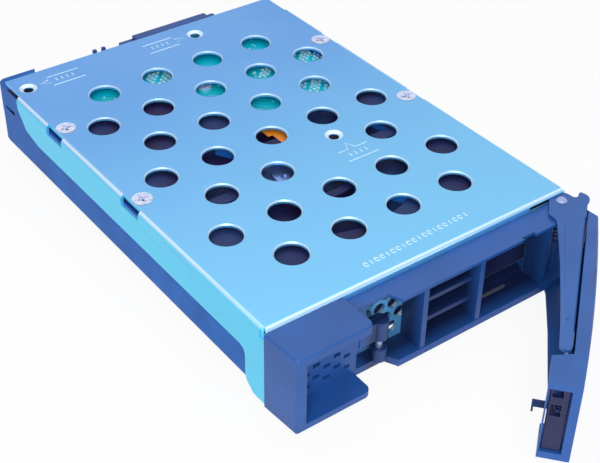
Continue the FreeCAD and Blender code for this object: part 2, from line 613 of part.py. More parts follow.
# ---- drive -------------------------------------------------------------------------------------------------
BOARD_LEFT = -DRIVE_W / 2 + 13.2
BOARD_RIGHT = DRIVE_W / 2 - 7.8
BOARD_SHARE = 70.7 / 147.0
BOARD_FRONT = DRIVE_REAR - BOARD_SHARE * DRIVE_L
BOARD_WIDE_FRONT = DRIVE_REAR - 38.0
BOARD_NECK = -12.5
SPINDLE_Y = DRIVE_FRONT + 51.0


def make_drive_base():
    """Cast body, board side up: screw bosses, a well for the board and a stepped motor recess."""
    half = DRIVE_W / 2
    body = box(-half, half, DRIVE_FRONT, DRIVE_REAR, CASTING_FOOT, CASTING_TOP)
    body = rounded(body, 3.0, lambda mid, e: is_upright(e))
    bosses = []
    for x, y in tray_screw_places():
        side = 1 if x > 0 else -1
        low, high = sorted((side * (half - 0.6), side * (SCREW_DX / 2 - 4.0)))
        bosses.append(box(low, high, y - 5.5, y + 5.5, CASTING_TOP - 1, DRIVE_H))
    body = joined([body] + bosses)
    cuts = [prism(board_outline(0.6), CASTING_TOP - 3.4, CASTING_TOP + 2)]
    spindle = V(0, SPINDLE_Y, 0)
    ring = rod(33.0, spindle + UP * (CASTING_TOP - 2.2), spindle + UP * (CASTING_TOP + 1))
    ring = ring.cut(rod(17.0, spindle, spindle + UP * DRIVE_H))
    spokes = [box(-2.0, 2.0, -34.0, 34.0, 0, DRIVE_H)]
    spokes[0].rotate(V(0, 0, 0), UP, 30)
    for turn in (60, 60):
        following = spokes[-1].copy()
        following.rotate(V(0, 0, 0), UP, turn)
        spokes.append(following)
    for spoke in spokes:
        spoke.translate(spindle)
    cuts.append(ring.cut(spokes).common(box(-half, half, DRIVE_FRONT, BOARD_FRONT - 2.5, 0, DRIVE_H)))
    cuts.append(rod(14.2, spindle + UP * (CASTING_TOP - 3.0), spindle + UP * DRIVE_H))
    for x, y in tray_screw_places():
        cuts.append(rod(TRAY_SHANK_R + 0.02, V(x, y, TRAY_TOP - 5.2), V(x, y, DRIVE_H + 1)))
    for along in (28.5, 70.1, 130.1):
        for side in (-1, 1):
            mouth = V(side * (half + 1), DRIVE_REAR - along, DRIVE_H - 6.35)
            cuts.append(rod(1.6, mouth, mouth - V(side * 4.5, 0, 0)))
    for side in (-1, 1):
        low, high = sorted((side * (half - 1.2), side * (half + 1)))
        cuts.append(box(low, high, DRIVE_REAR - 11, DRIVE_REAR - 4.8, CASTING_TOP - 7.7, CASTING_TOP - 6.5))
    for x, y in board_screw_places():
        cuts.append(rod(1.02, V(x, y, CASTING_TOP - 6), V(x, y, CASTING_TOP)))
    posts = [rod(2.4, V(x, y, CASTING_TOP - 3.6), V(x, y, CASTING_TOP - 1.7)).cut(
        rod(1.02, V(x, y, CASTING_TOP - 6), V(x, y, CASTING_TOP))) for x, y in board_screw_places()]
    connector_bay = box(-8.0, 33.0, DRIVE_REAR - 9.5, DRIVE_REAR + 1, CASTING_TOP - 7.1, CASTING_TOP)
    pin_bay = box(-18.6, -8.9, DRIVE_REAR - 7.0, DRIVE_REAR + 1, CASTING_TOP - 6.3, CASTING_TOP)
    return joined([body.cut(cuts)] + posts).cut([connector_bay, pin_bay])


def cover_screw_places():
    """Centres of the screws round the cover's edge."""
    x = DRIVE_W / 2 - 3.6
    return [(sx * x, y) for y in (DRIVE_FRONT + 5.0, SPINDLE_Y + 24.0, DRIVE_REAR - 6.0) for sx in (-1, 1)]


def make_drive_cover():
    """Pressed cover under the casting: a flat rim and a raised field that follows the disc."""
    half = DRIVE_W / 2 - 0.3
    rim = box(-half, half, DRIVE_FRONT + 0.3, DRIVE_REAR - 0.3, COVER_STEP, CASTING_FOOT)
    rim = rounded(rim, 3.0, lambda mid, e: is_upright(e))
    inset = 7.4
    radius = half - 4.2
    disc = rod(radius, V(0, SPINDLE_Y, 0), V(0, SPINDLE_Y, COVER_STEP + 0.2))
    disc = disc.common(box(-half + inset, half - inset, DRIVE_FRONT + 4, DRIVE_REAR, 0, COVER_STEP + 0.2))
    field = box(-half + inset, half - inset, SPINDLE_Y, DRIVE_REAR - 8.0, 0, COVER_STEP + 0.2)
    field = rounded(field, 6.0, lambda mid, e: is_upright(e) and mid.y > SPINDLE_Y + 10)
    raised = joined([disc, field])
    raised = rounded(raised, 1.2, lambda mid, e: mid.z < 1e-6)
    cuts = [rod(1.45, V(x, y, 2), V(x, y, CASTING_FOOT + 1)) for x, y in cover_screw_places()]
    cuts.append(rod(6.0, V(0, SPINDLE_Y, -1), V(0, SPINDLE_Y, 0.8)))
    cuts.append(rod(4.0, V(24.0, DRIVE_REAR - 34.0, -1), V(24.0, DRIVE_REAR - 34.0, 0.8)))
    cuts.append(rod(0.8, V(-26.0, DRIVE_REAR - 30.0, -1), V(-26.0, DRIVE_REAR - 30.0, 1.5)))
    return joined([rim, raised]).cut(cuts)


def make_cover_screws():
    """Six low round-head screws that clamp the cover."""
    screws = []
    for x, y in cover_screw_places():
        head = Part.makeCone(1.9, 2.4, 0.9, V(x, y, COVER_STEP - 0.9))
        shank = rod(1.4, V(x, y, COVER_STEP), V(x, y, CASTING_FOOT))
        star = box(x - 0.9, x + 0.9, y - 0.3, y + 0.3, COVER_STEP - 1.5, COVER_STEP - 0.4)
        screws.append(head.fuse(shank).cut(star))
    return Part.makeCompound(screws)


def board_screw_places():
    """Centres of the screws that hold the circuit board."""
    return [(BOARD_LEFT + 5.0, BOARD_WIDE_FRONT + 4.5), (BOARD_RIGHT - 5.0, BOARD_FRONT + 5.0),
            (BOARD_NECK + 14.3, BOARD_FRONT + 29.9),
            (BOARD_LEFT + 5.0, DRIVE_REAR - 16.0), (BOARD_RIGHT - 5.0, DRIVE_REAR - 16.0)]


def board_outline(margin):
    """Plan of the board, wide at the rear and stepped towards the motor, grown by a margin."""
    left = BOARD_LEFT - margin
    right = BOARD_RIGHT + margin
    neck = BOARD_NECK - margin
    front = BOARD_FRONT - margin
    wide = BOARD_WIDE_FRONT - margin
    return [(left, DRIVE_REAR - 1.0 + margin), (left, wide), (neck - 5.0, wide), (neck, wide - 5.0),
            (neck, front + 22.0 / 32.7 * (wide - front)), (neck + 15.0, front + 5.0), (neck + 19.0, front),
            (right, front), (right, DRIVE_REAR - 1.0 + margin)]


def make_circuit_board():
    """The drive's circuit board, cut away round the connector and the jumper block."""
    low = CASTING_TOP - 1.7
    board = prism(board_outline(0), low, low + 1.2)
    board = rounded(board, 1.5, lambda mid, e: is_upright(e))
    notch = rod(5.0, V(18.0, BOARD_FRONT - 2.0, low - 1), V(18.0, BOARD_FRONT - 2.0, low + 2))
    connector = box(-6.6, 31.6, DRIVE_REAR - 8.0, DRIVE_REAR, low - 1, low + 2)
    pins = box(-17.2, -9.4, DRIVE_REAR - 6.4, DRIVE_REAR, low - 1, low + 2)
    holes = [rod(1.1, V(x, y, low - 1), V(x, y, low + 2)) for x, y in board_screw_places()]
    return board.cut([notch, connector, pins] + holes)


def make_board_screws():
    """Five low screws that hold the board to its posts."""
    top = CASTING_TOP - 0.5
    screws = []
    for x, y in board_screw_places():
        head = rod(2.3, V(x, y, top), V(x, y, top + 0.9))
        shank = rod(1.0, V(x, y, top - 3.6), V(x, y, top))
        slot = box(x - 1.3, x + 1.3, y - 0.3, y + 0.3, top + 0.4, top + 2)
        cross = box(x - 0.3, x + 0.3, y - 1.3, y + 1.3, top + 0.4, top + 2)
        screws.append(head.fuse(shank).cut([slot, cross]))
    return Part.makeCompound(screws)


def make_connector():
    """Serial data and power plug: a shrouded housing with two keyed tongues."""
    rear = DRIVE_REAR - 0.2
    low = CASTING_TOP - 6.6
    housing = box(-6.3, 31.3, rear - 7.4, rear, low, CASTING_TOP - 0.3)
    cavity = box(-4.8, 29.8, rear - 5.6, rear + 1, low + 1.1, CASTING_TOP - 1.4)
    web = box(6.6, 8.0, rear - 5.6, rear - 0.6, low + 1.1, CASTING_TOP - 1.4)
    middle = low + 3.1
    tongues = []
    for start, length in ((-3.6, 9.2), (9.4, 18.8)):
        tongues.append(box(start, start + length, rear - 6.0, rear - 0.6, middle, middle + 1.1))
        tongues.append(box(start + length - 1.1, start + length, rear - 6.0, rear - 0.6, middle - 1.0, middle + 0.2))
    return joined([housing.cut(cavity), web] + tongues)


def make_contacts():
    """Gold contact strips that lie on the connector's tongues."""
    rear = DRIVE_REAR - 0.2
    top = CASTING_TOP - 6.6 + 3.1 + 1.1
    strips = []
    for start, count in ((-2.9, 7), (10.1, 15)):
        for k in range(count):
            x = start + 1.2 * k
            strips.append(box(x - 0.3, x + 0.3, rear - 5.5, rear - 0.9, top, top + 0.15))
    return Part.makeCompound(strips)


def make_jumper_block():
    """Black pin carrier beside the connector."""
    rear = DRIVE_REAR - 0.6
    block = box(-16.8, -9.8, rear - 4.4, rear - 2.2, CASTING_TOP - 5.3, CASTING_TOP - 0.4)
    seats = [box(x - 0.27, x + 0.27, rear - 5, rear, z - 0.27, z + 0.27) for x, z in jumper_places()]
    return block.cut(seats)


def jumper_places():
    """X and Z of the jumper pins."""
    return [(-16.3 + 2.0 * column, CASTING_TOP - drop) for column in range(4) for drop in (4.1, 2.1)]


def make_jumper_pins():
    """Eight square pins."""
    rear = DRIVE_REAR - 0.6
    pins = [box(x - 0.25, x + 0.25, rear - 4.4, rear, z - 0.25, z + 0.25) for x, z in jumper_places()]
    return Part.makeCompound(pins)


def make_chip(left, ahead, width, length):
    """A flat moulded chip on the board, placed from the board's neck and front, with a ground pin-one dimple."""
    x0 = BOARD_NECK + left
    x1 = x0 + width
    y0 = BOARD_FRONT + ahead
    y1 = y0 + length
    low = CASTING_TOP - 0.5
    chip = box(x0, x1, y0, y1, low, low + 0.9)
    chip = rounded(chip, 0.25, lambda mid, e: mid.z > low + 0.9 - 1e-6)
    return chip.cut(rod(0.6, V(x0 + 1.6, y1 - 1.6, low + 0.7), V(x0 + 1.6, y1 - 1.6, low + 2)))


def make_spindle_hub():
    """Stepped round plate of the spindle motor."""
    centre = V(0, SPINDLE_Y, 0)
    floor = CASTING_TOP - 3.0
    hub = joined([rod(13.8, centre + UP * floor, centre + UP * (floor + 1.2)),
                  rod(9.5, centre + UP * floor, centre + UP * (floor + 2.2))])
    dimples = [rod(1.1, centre + V(6.5 * math.cos(a), 6.5 * math.sin(a), floor + 1.6),
                   centre + V(6.5 * math.cos(a), 6.5 * math.sin(a), floor + 4))
               for a in (math.radians(60 * k) for k in range(6))]
    return hub.cut(dimples + [rod(2.0, centre + UP * (floor + 1.4), centre + UP * (floor + 4))])


def make_motor_flex():
    """Flat flexible strip from the motor up over the casting and on to the board."""
    rise = CASTING_TOP
    strip = box(1.0, 9.0, BOARD_FRONT - 6.5, BOARD_FRONT - 0.6, rise, rise + 0.15)
    tail = box(2.5, 7.5, BOARD_FRONT - 12.0, BOARD_FRONT - 6.5, rise, rise + 0.15)
    return joined([strip, tail])


def build():
    """Builds every node and writes it."""
    os.makedirs("parts", exist_ok=True)
    save("tray", make_tray())
    save("tray_screws", make_tray_screws())
    save("bezel", make_bezel())
    save("bezel_screws", make_bezel_screws())
    save("strike_pin", make_strike_pin())
    save("handle_lever", make_handle_lever())
    save("handle_grip", make_grip())
    save("grip_rivets", make_grip_rivets())
    save("pivot_pin", make_pivot_pin())
    save("handle_spring", make_handle_spring())
    save("latch_clip", make_latch_clip())
    save("clip_rivet", make_clip_rivet())
    save("release_button", make_release_button())
    save("button_spring", make_button_spring())
    save("drive_base", make_drive_base())
    save("drive_cover", make_drive_cover())
    save("cover_screws", make_cover_screws())
    save("circuit_board", make_circuit_board())
    save("board_screws", make_board_screws())
    save("data_power_connector", make_connector())
    save("connector_contacts", make_contacts())
    save("jumper_block", make_jumper_block())
    save("jumper_pins", make_jumper_pins())
    save("controller_chip", make_chip(29.3, 32.4, 9.6, 9.6))
    save("motor_chip", make_chip(29.8, 9.2, 8.4, 8.4))
    save("memory_chip", make_chip(-3.5, 49.2, 12.0, 8.0))
    save("spindle_hub", make_spindle_hub())
    save("motor_flex", make_motor_flex())


build()
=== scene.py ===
import logging
import math
from dataclasses import dataclass
from enum import Enum
from typing import Any, Iterable, Optional

import bmesh
import bpy
from bpy.types import ID, Material, Mesh, Node, NodeSocket as Socket, NodeTree as Tree, Object
from mathutils import Matrix, Vector


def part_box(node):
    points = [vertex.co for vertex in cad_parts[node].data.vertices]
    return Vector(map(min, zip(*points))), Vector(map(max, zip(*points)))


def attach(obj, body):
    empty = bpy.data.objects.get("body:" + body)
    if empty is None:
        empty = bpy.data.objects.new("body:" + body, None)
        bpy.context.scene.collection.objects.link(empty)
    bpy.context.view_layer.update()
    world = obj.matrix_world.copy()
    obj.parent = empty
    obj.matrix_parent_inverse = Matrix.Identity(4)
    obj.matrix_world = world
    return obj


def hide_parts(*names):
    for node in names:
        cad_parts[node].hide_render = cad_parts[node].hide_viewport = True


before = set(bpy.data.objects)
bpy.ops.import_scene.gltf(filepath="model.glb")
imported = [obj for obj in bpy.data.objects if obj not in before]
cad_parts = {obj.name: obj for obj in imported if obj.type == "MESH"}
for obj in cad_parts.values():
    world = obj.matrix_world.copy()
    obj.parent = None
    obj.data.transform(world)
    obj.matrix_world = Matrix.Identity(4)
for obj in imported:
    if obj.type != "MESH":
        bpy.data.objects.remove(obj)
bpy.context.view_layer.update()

Pair = tuple[Socket, Socket]
Point = tuple[float, float, float]
Range = tuple[float, float]
Strokes = list[Iterable[Range]]
MM = 0.001
WELD_MM = 0.002
LOOSE_WELD_MM = 0.001
FLAT_ANGLE = math.radians(0.4)
SHARP_ANGLE = math.radians(28)
BEVEL_ANGLE = math.radians(40)
ALONG_AXIS = 0.9999
PLACE_DIGITS = 5
EDGE_STEPS = 2
ROUND = 0.5
# A finish with at least this much metal keeps the default IOR.
METAL = 0.5
log = logging.getLogger("drive_caddy")


# ---- helpers ----
def linear(code: str) -> tuple[float, float, float, float]:
    """Turns an sRGB hex colour into linear RGBA.

    Args:
        code: Six hex digits, with or without a leading hash.

    Returns:
        The linear colour with an alpha of 1.
    """
    digits = code.lstrip("#")
    values = [int(digits[k:k + 2], 16) / 255 for k in (0, 2, 4)]
    r, g, b = [v / 12.92 if v <= 0.04045 else ((v + 0.055) / 1.055) ** 2.4 for v in values]
    return (r, g, b, 1.0)


def add_node(tree: Tree, kind: str, inputs: Optional[dict[Any, Any]] = None, **settings: Any) -> Node:
    """Adds a node with its settings, values and links.

    Args:
        tree: The tree that gets the node.
        kind: The node's type name.
        inputs: Input name or number to a plain value, or to the output socket that feeds it.
        **settings: The node's attributes.

    Returns:
        The new node.
    """
    node = tree.nodes.new(kind)
    for key, value in settings.items():
        setattr(node, key, value)
    for key, value in (inputs or {}).items():
        if isinstance(value, Socket):
            tree.links.new(value, node.inputs[key])
        else:
            node.inputs[key].default_value = value
    return node


def link_object(name: str, data: ID) -> Object:
    """Puts a mesh, lamp or camera in the scene as an object at the origin.

    Args:
        name: The object's name.
        data: Its data. A mesh is already in place.

    Returns:
        The new object.
    """
    made = bpy.data.objects.new(name, data)
    bpy.context.scene.collection.objects.link(made)
    return made


def corners(node: str) -> tuple[Vector, Vector]:
    """Lowest and highest corner of a CAD node, in metres."""
    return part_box(node)


# ---- finishes ----
class Grain(Enum):
    """How a surface was made, which decides how its fine pattern is drawn out."""

    ROLLED = "rolled sheet"
    MOULDED = "moulded plastic"
    CAST = "coated casting"
    BRUSHED = "brushed metal"
    TURNED = "turned or plated metal"
    SMOOTH = "smooth film or resin"


STRETCH = {Grain.ROLLED: (1.0, 0.05, 1.0), Grain.BRUSHED: (0.04, 1.0, 1.0)}


@dataclass(frozen=True)
class Finish:
    """One material: what it is, its two tones and the fine pattern of its surface."""

    name: str
    tone: str
    second_tone: str
    grain: Grain
    metallic: float = 0.0
    roughness: float = 0.5
    roughness_spread: float = 0.08
    grain_mm: float = 0.4
    relief_mm: float = 0.01
    cloud_mm: float = 18.0
    cloud_range: Range = (0.35, 0.65)
    ior: float = 1.5

    def material(self) -> Material:
        """Builds the material, or returns it if it exists.

        Returns:
            A node material that reads Object coordinates.
        """
        found = bpy.data.materials.get(self.name)
        if found:
            return found
        made = bpy.data.materials.new(self.name)
        made.use_nodes = True
        tree = made.node_tree
        tree.nodes.clear()
        place = add_node(tree, "ShaderNodeTexCoord").outputs["Object"]
        colour, rough = self.colours(tree, place)
        bump = self.relief(tree, place)
        inputs = {"Base Color": colour, "Roughness": rough, "Normal": bump, "Metallic": self.metallic}
        if self.metallic < METAL:
            inputs["IOR"] = self.ior
        shader = add_node(tree, "ShaderNodeBsdfPrincipled", inputs)
        add_node(tree, "ShaderNodeOutputMaterial", {"Surface": shader.outputs["BSDF"]})
        return made

    def fine(self, tree: Tree, place: Socket) -> Socket:
        """The fine pattern, at the finish's grain size.

        Args:
            tree: The material's tree.
            place: Object coordinates.

        Returns:
            A value from 0 to 1.
        """
        drawn = add_node(tree, "ShaderNodeMapping", {
            "Vector": place, "Scale": STRETCH.get(self.grain, (1.0, 1.0, 1.0))})
        noise = add_node(tree, "ShaderNodeTexNoise", {
            "Vector": drawn.outputs["Vector"], "Scale": 1 / (self.grain_mm * MM), "Detail": 3.0})
        return noise.outputs["Fac"]

    def colours(self, tree: Tree, place: Socket) -> Pair:
        """Colour and roughness: broad clouds between two tones, with a little of the fine pattern.

        Args:
            tree: The material's tree.
            place: Object coordinates.

        Returns:
            Colour socket and roughness socket.
        """
        cloud = add_node(tree, "ShaderNodeTexNoise", {
            "Vector": place, "Scale": 1 / (self.cloud_mm * MM)}).outputs["Fac"]
        share = add_node(tree, "ShaderNodeMapRange", {
            "Value": cloud, "From Min": self.cloud_range[0],
            "From Max": self.cloud_range[1]}).outputs["Result"]
        mix = add_node(tree, "ShaderNodeMix", {
            "Factor": share, "A": linear(self.tone), "B": linear(self.second_tone)}, data_type="RGBA")
        rough = add_node(tree, "ShaderNodeMapRange", {
            "Value": self.fine(tree, place), "To Min": self.roughness - self.roughness_spread,
            "To Max": self.roughness + self.roughness_spread})
        return mix.outputs["Result"], rough.outputs["Result"]

    def relief(self, tree: Tree, place: Socket) -> Socket:
        """Surface normal with the fine pattern as shallow relief.

        Args:
            tree: The material's tree.
            place: Object coordinates.

        Returns:
            The normal socket.
        """
        bump = add_node(tree, "ShaderNodeBump", {
            "Height": self.fine(tree, place), "Distance": self.relief_mm * MM})
        return bump.outputs["Normal"]


@dataclass(frozen=True)
class PlatedSheet(Finish):
    """Zinc plated steel sheet, rolled and passivated, under a violet blue film, with painted light on it.

    A painted highlight lightens it towards the front edge, painted light in cyan falls on the flanks and
    other side faces, and bends and punched rims are paler: a painted highlight.
    """

    # Painted light: a painted highlight towards the front edge, painted light on the outer flanks and on the
    # other side faces, and a painted highlight on bends and rims.
    front_highlight_tone: str = "#76C0EC"
    lit_flank_tone: str = "#5CD0F4"
    lit_inner_side_tone: str = "#62B4EE"
    bend_highlight_tone: str = "#D9ECFB"
    side_z: Range = (0.75, 0.2)
    scratch_mm: float = 1.1
    scratch_stretch: Point = (1.0, 0.03, 1.0)
    wear_range: Range = (0.62, 0.8)
    wear: float = 0.5
    flank_mm: float = 1.6
    # Where the facing turns from up to side, the sheet is painted pale: a painted highlight on bends and
    # rims.
    rise_z: Range = (0.45, 0.88)
    fall_z: Range = (0.99, 0.94)
    bend_highlight_share: float = 0.85

    def colours(self, tree: Tree, place: Socket) -> Pair:
        """Clouded plating, with a painted highlight towards the front edge, painted cyan light on the flanks
        and a painted highlight on the bends.

        Args:
            tree: The material's tree.
            place: Object coordinates.

        Returns:
            Colour socket and roughness socket.
        """
        clouds, rough = super().colours(tree, place)
        at = add_node(tree, "ShaderNodeSeparateXYZ", {"Vector": place}).outputs
        (_, front, _), (right, rear, _) = corners("tray")
        # Painted highlight: the sheet grows lighter towards the front edge.
        share = add_node(tree, "ShaderNodeMapRange", {
            "Value": at["Y"], "From Min": rear, "From Max": front},
            interpolation_type="SMOOTHSTEP").outputs["Result"]
        top = add_node(tree, "ShaderNodeMix", {
            "Factor": share, "A": clouds, "B": linear(self.front_highlight_tone)}, data_type="RGBA").outputs["Result"]
        # Painted light by facing: side faces take the lit flank tone or the inner side tone, and bends and
        # rims take a pale painted highlight.
        facing = add_node(tree, "ShaderNodeNewGeometry").outputs["Normal"]
        up = add_node(tree, "ShaderNodeSeparateXYZ", {"Vector": facing}).outputs["Z"]
        side, rise, fall = [add_node(tree, "ShaderNodeMapRange", {
            "Value": up, "From Min": start, "From Max": end, "To Max": most}).outputs["Result"]
            for (start, end), most in ((self.side_z, 1.0), (self.rise_z, self.bend_highlight_share), (self.fall_z, 1.0))]
        drawn = add_node(tree, "ShaderNodeMapping", {"Vector": place, "Scale": self.scratch_stretch})
        streaks = add_node(tree, "ShaderNodeTexNoise", {
            "Vector": drawn.outputs["Vector"], "Scale": 1 / (self.scratch_mm * MM)}).outputs["Fac"]
        worn = add_node(tree, "ShaderNodeMapRange", {
            "Value": streaks, "From Min": self.wear_range[0], "From Max": self.wear_range[1],
            "To Max": self.wear}).outputs["Result"]
        outer = add_node(tree, "ShaderNodeMath", {0: at["X"]}, operation="ABSOLUTE").outputs[0]
        flush = add_node(tree, "ShaderNodeMath", {
            0: outer, 1: right - self.flank_mm * MM}, operation="GREATER_THAN").outputs[0]
        streaked = add_node(tree, "ShaderNodeMix", {
            "Factor": worn, "A": linear(self.lit_flank_tone), "B": linear(self.tone)},
            data_type="RGBA").outputs["Result"]
        flank = add_node(tree, "ShaderNodeMix", {
            "Factor": flush, "A": linear(self.lit_inner_side_tone), "B": streaked}, data_type="RGBA").outputs["Result"]
        sided = add_node(tree, "ShaderNodeMix", {
            "Factor": side, "A": top, "B": flank}, data_type="RGBA").outputs["Result"]
        # Painted highlight on bends and punched rims.
        bend = add_node(tree, "ShaderNodeMath", {0: rise, 1: fall}, operation="MULTIPLY").outputs[0]
        mix = add_node(tree, "ShaderNodeMix", {
            "Factor": bend, "A": sided, "B": linear(self.bend_highlight_tone)}, data_type="RGBA")
        return mix.outputs["Result"], rough


@dataclass(frozen=True)
class RecessedMoulding(Finish):
    """Moulded ABS, with painted shade that darkens the deep recesses of the bays against the outer faces."""

    # Painted shade inside the bays: its tone, its bounds and how far it reaches.
    bay_shade_tone: str = "#0D1236"
    left_mm: Range = (-25.0, -21.0)
    right_mm: Range = (38.6, 38.3)
    ledge_mm: Range = (24.2, 23.7)
    depth_mm: Range = (9.0, 3.6)
    bay_shade_share: float = 0.9

    def colours(self, tree: Tree, place: Socket) -> Pair:
        """Outer tone on the faces, painted shade inside the bays.

        Args:
            tree: The material's tree.
            place: Object coordinates.

        Returns:
            Colour socket and roughness socket.
        """
        clouds, rough = super().colours(tree, place)
        at = add_node(tree, "ShaderNodeSeparateXYZ", {"Vector": place}).outputs
        front = corners("tray")[0].y
        mouth, back = [front - depth * MM for depth in self.depth_mm]
        share = add_node(tree, "ShaderNodeMapRange", {
            "Value": at["Y"], "From Min": mouth, "From Max": back,
            "To Max": self.bay_shade_share}).outputs["Result"]
        for axis, (start, end) in (("X", self.left_mm), ("X", self.right_mm), ("Z", self.ledge_mm)):
            inside = add_node(tree, "ShaderNodeMapRange", {
                "Value": at[axis], "From Min": start * MM, "From Max": end * MM}).outputs["Result"]
            share = add_node(tree, "ShaderNodeMath", {0: share, 1: inside}, operation="MULTIPLY").outputs[0]
        # Painted shade: darker towards the back of the bays.
        mix = add_node(tree, "ShaderNodeMix", {
            "Factor": share, "A": clouds, "B": linear(self.bay_shade_tone)}, data_type="RGBA")
        return mix.outputs["Result"], rough


@dataclass(frozen=True)
class CoatedCasting(Finish):
    """Die casting with painted shade: dark on the top and front faces that lie under the tray and behind the
    bezel.
    """

    # Painted shade on the top and front faces: two dark tones clouded together, sparing a strip at the rear.
    casting_shade_tone: str = "#1A1440"
    casting_shade_second_tone: str = "#233463"
    top_z: float = 0.3
    front_y: float = -0.5
    unshaded_rear_mm: float = 1.0
    shade_cloud_mm: float = 26.0
    shade_cloud_range: Range = (0.4, 0.62)

    def colours(self, tree: Tree, place: Socket) -> Pair:
        """Outer tone on the sides, painted shade on top and in front.

        Args:
            tree: The material's tree.
            place: Object coordinates.

        Returns:
            Colour socket and roughness socket.
        """
        clouds, rough = super().colours(tree, place)
        facing = add_node(tree, "ShaderNodeNewGeometry").outputs["Normal"]
        way = add_node(tree, "ShaderNodeSeparateXYZ", {"Vector": facing}).outputs
        along = add_node(tree, "ShaderNodeSeparateXYZ", {"Vector": place}).outputs["Y"]
        up = add_node(tree, "ShaderNodeMath", {
            0: way["Z"], 1: self.top_z}, operation="GREATER_THAN").outputs[0]
        ahead = add_node(tree, "ShaderNodeMath", {
            0: way["Y"], 1: self.front_y}, operation="LESS_THAN").outputs[0]
        ahead_of_rear = add_node(tree, "ShaderNodeMath", {
            0: along, 1: corners("tray")[1].y - self.unshaded_rear_mm * MM}, operation="LESS_THAN").outputs[0]
        faced = add_node(tree, "ShaderNodeMath", {0: up, 1: ahead}, operation="MAXIMUM").outputs[0]
        # Painted shade on the faces that look up or forward, ahead of the tray's rear.
        shaded = add_node(tree, "ShaderNodeMath", {0: faced, 1: ahead_of_rear}, operation="MULTIPLY").outputs[0]
        shade_cloud = add_node(tree, "ShaderNodeTexNoise", {
            "Vector": place, "Scale": 1 / (self.shade_cloud_mm * MM), "Detail": 1.0}).outputs["Fac"]
        share = add_node(tree, "ShaderNodeMapRange", {
            "Value": shade_cloud, "From Min": self.shade_cloud_range[0],
            "From Max": self.shade_cloud_range[1]}).outputs["Result"]
        dark = add_node(tree, "ShaderNodeMix", {
            "Factor": share, "A": linear(self.casting_shade_tone), "B": linear(self.casting_shade_second_tone)},
            data_type="RGBA").outputs["Result"]
        mix = add_node(tree, "ShaderNodeMix", {"Factor": shaded, "A": clouds, "B": dark}, data_type="RGBA")
        return mix.outputs["Result"], rough


@dataclass(frozen=True)
class SolderMask(Finish):
    """Printed circuit board: teal mask over copper tracks, with plated vias as pale dots."""

    track_tone: str = "#0FA3AE"
    via_tone: str = "#BFE9EA"
    # In the wave node's own unit: the bands lie 1.9 mm apart on the board.
    track_wave_mm: float = 4.2
    track_edge: float = 0.62
    bundle_mm: float = 9.0
    bundle_share: float = 0.45
    via_mm: float = 2.6
    via_spread: float = 0.8
    via_size: float = 0.13

    def colours(self, tree: Tree, place: Socket) -> Pair:
        """Mask with tracks in bundles and vias between them.

        Args:
            tree: The material's tree.
            place: Object coordinates.

        Returns:
            Colour socket and roughness socket.
        """
        clouds, rough = super().colours(tree, place)
        lines = add_node(tree, "ShaderNodeTexWave", {
            "Vector": place, "Scale": 1 / (self.track_wave_mm * MM)},
            bands_direction="DIAGONAL").outputs["Fac"]
        bundle = add_node(tree, "ShaderNodeTexVoronoi", {
            "Vector": place, "Scale": 1 / (self.bundle_mm * MM)}).outputs["Color"]
        pick = add_node(tree, "ShaderNodeSeparateXYZ", {"Vector": bundle}).outputs["X"]
        held, edge = [add_node(tree, "ShaderNodeMath", {
            0: value, 1: limit}, operation="GREATER_THAN").outputs[0]
            for value, limit in ((pick, self.bundle_share), (lines, self.track_edge))]
        track = add_node(tree, "ShaderNodeMath", {0: edge, 1: held}, operation="MULTIPLY").outputs[0]
        traced = add_node(tree, "ShaderNodeMix", {
            "Factor": track, "A": clouds, "B": linear(self.track_tone)}, data_type="RGBA").outputs["Result"]
        dots = add_node(tree, "ShaderNodeTexVoronoi", {
            "Vector": place, "Scale": 1 / (self.via_mm * MM),
            "Randomness": self.via_spread}).outputs["Distance"]
        near = add_node(tree, "ShaderNodeMath", {
            0: dots, 1: self.via_size}, operation="LESS_THAN").outputs[0]
        mix = add_node(tree, "ShaderNodeMix", {
            "Factor": near, "A": traced, "B": linear(self.via_tone)}, data_type="RGBA")
        return mix.outputs["Result"], rough


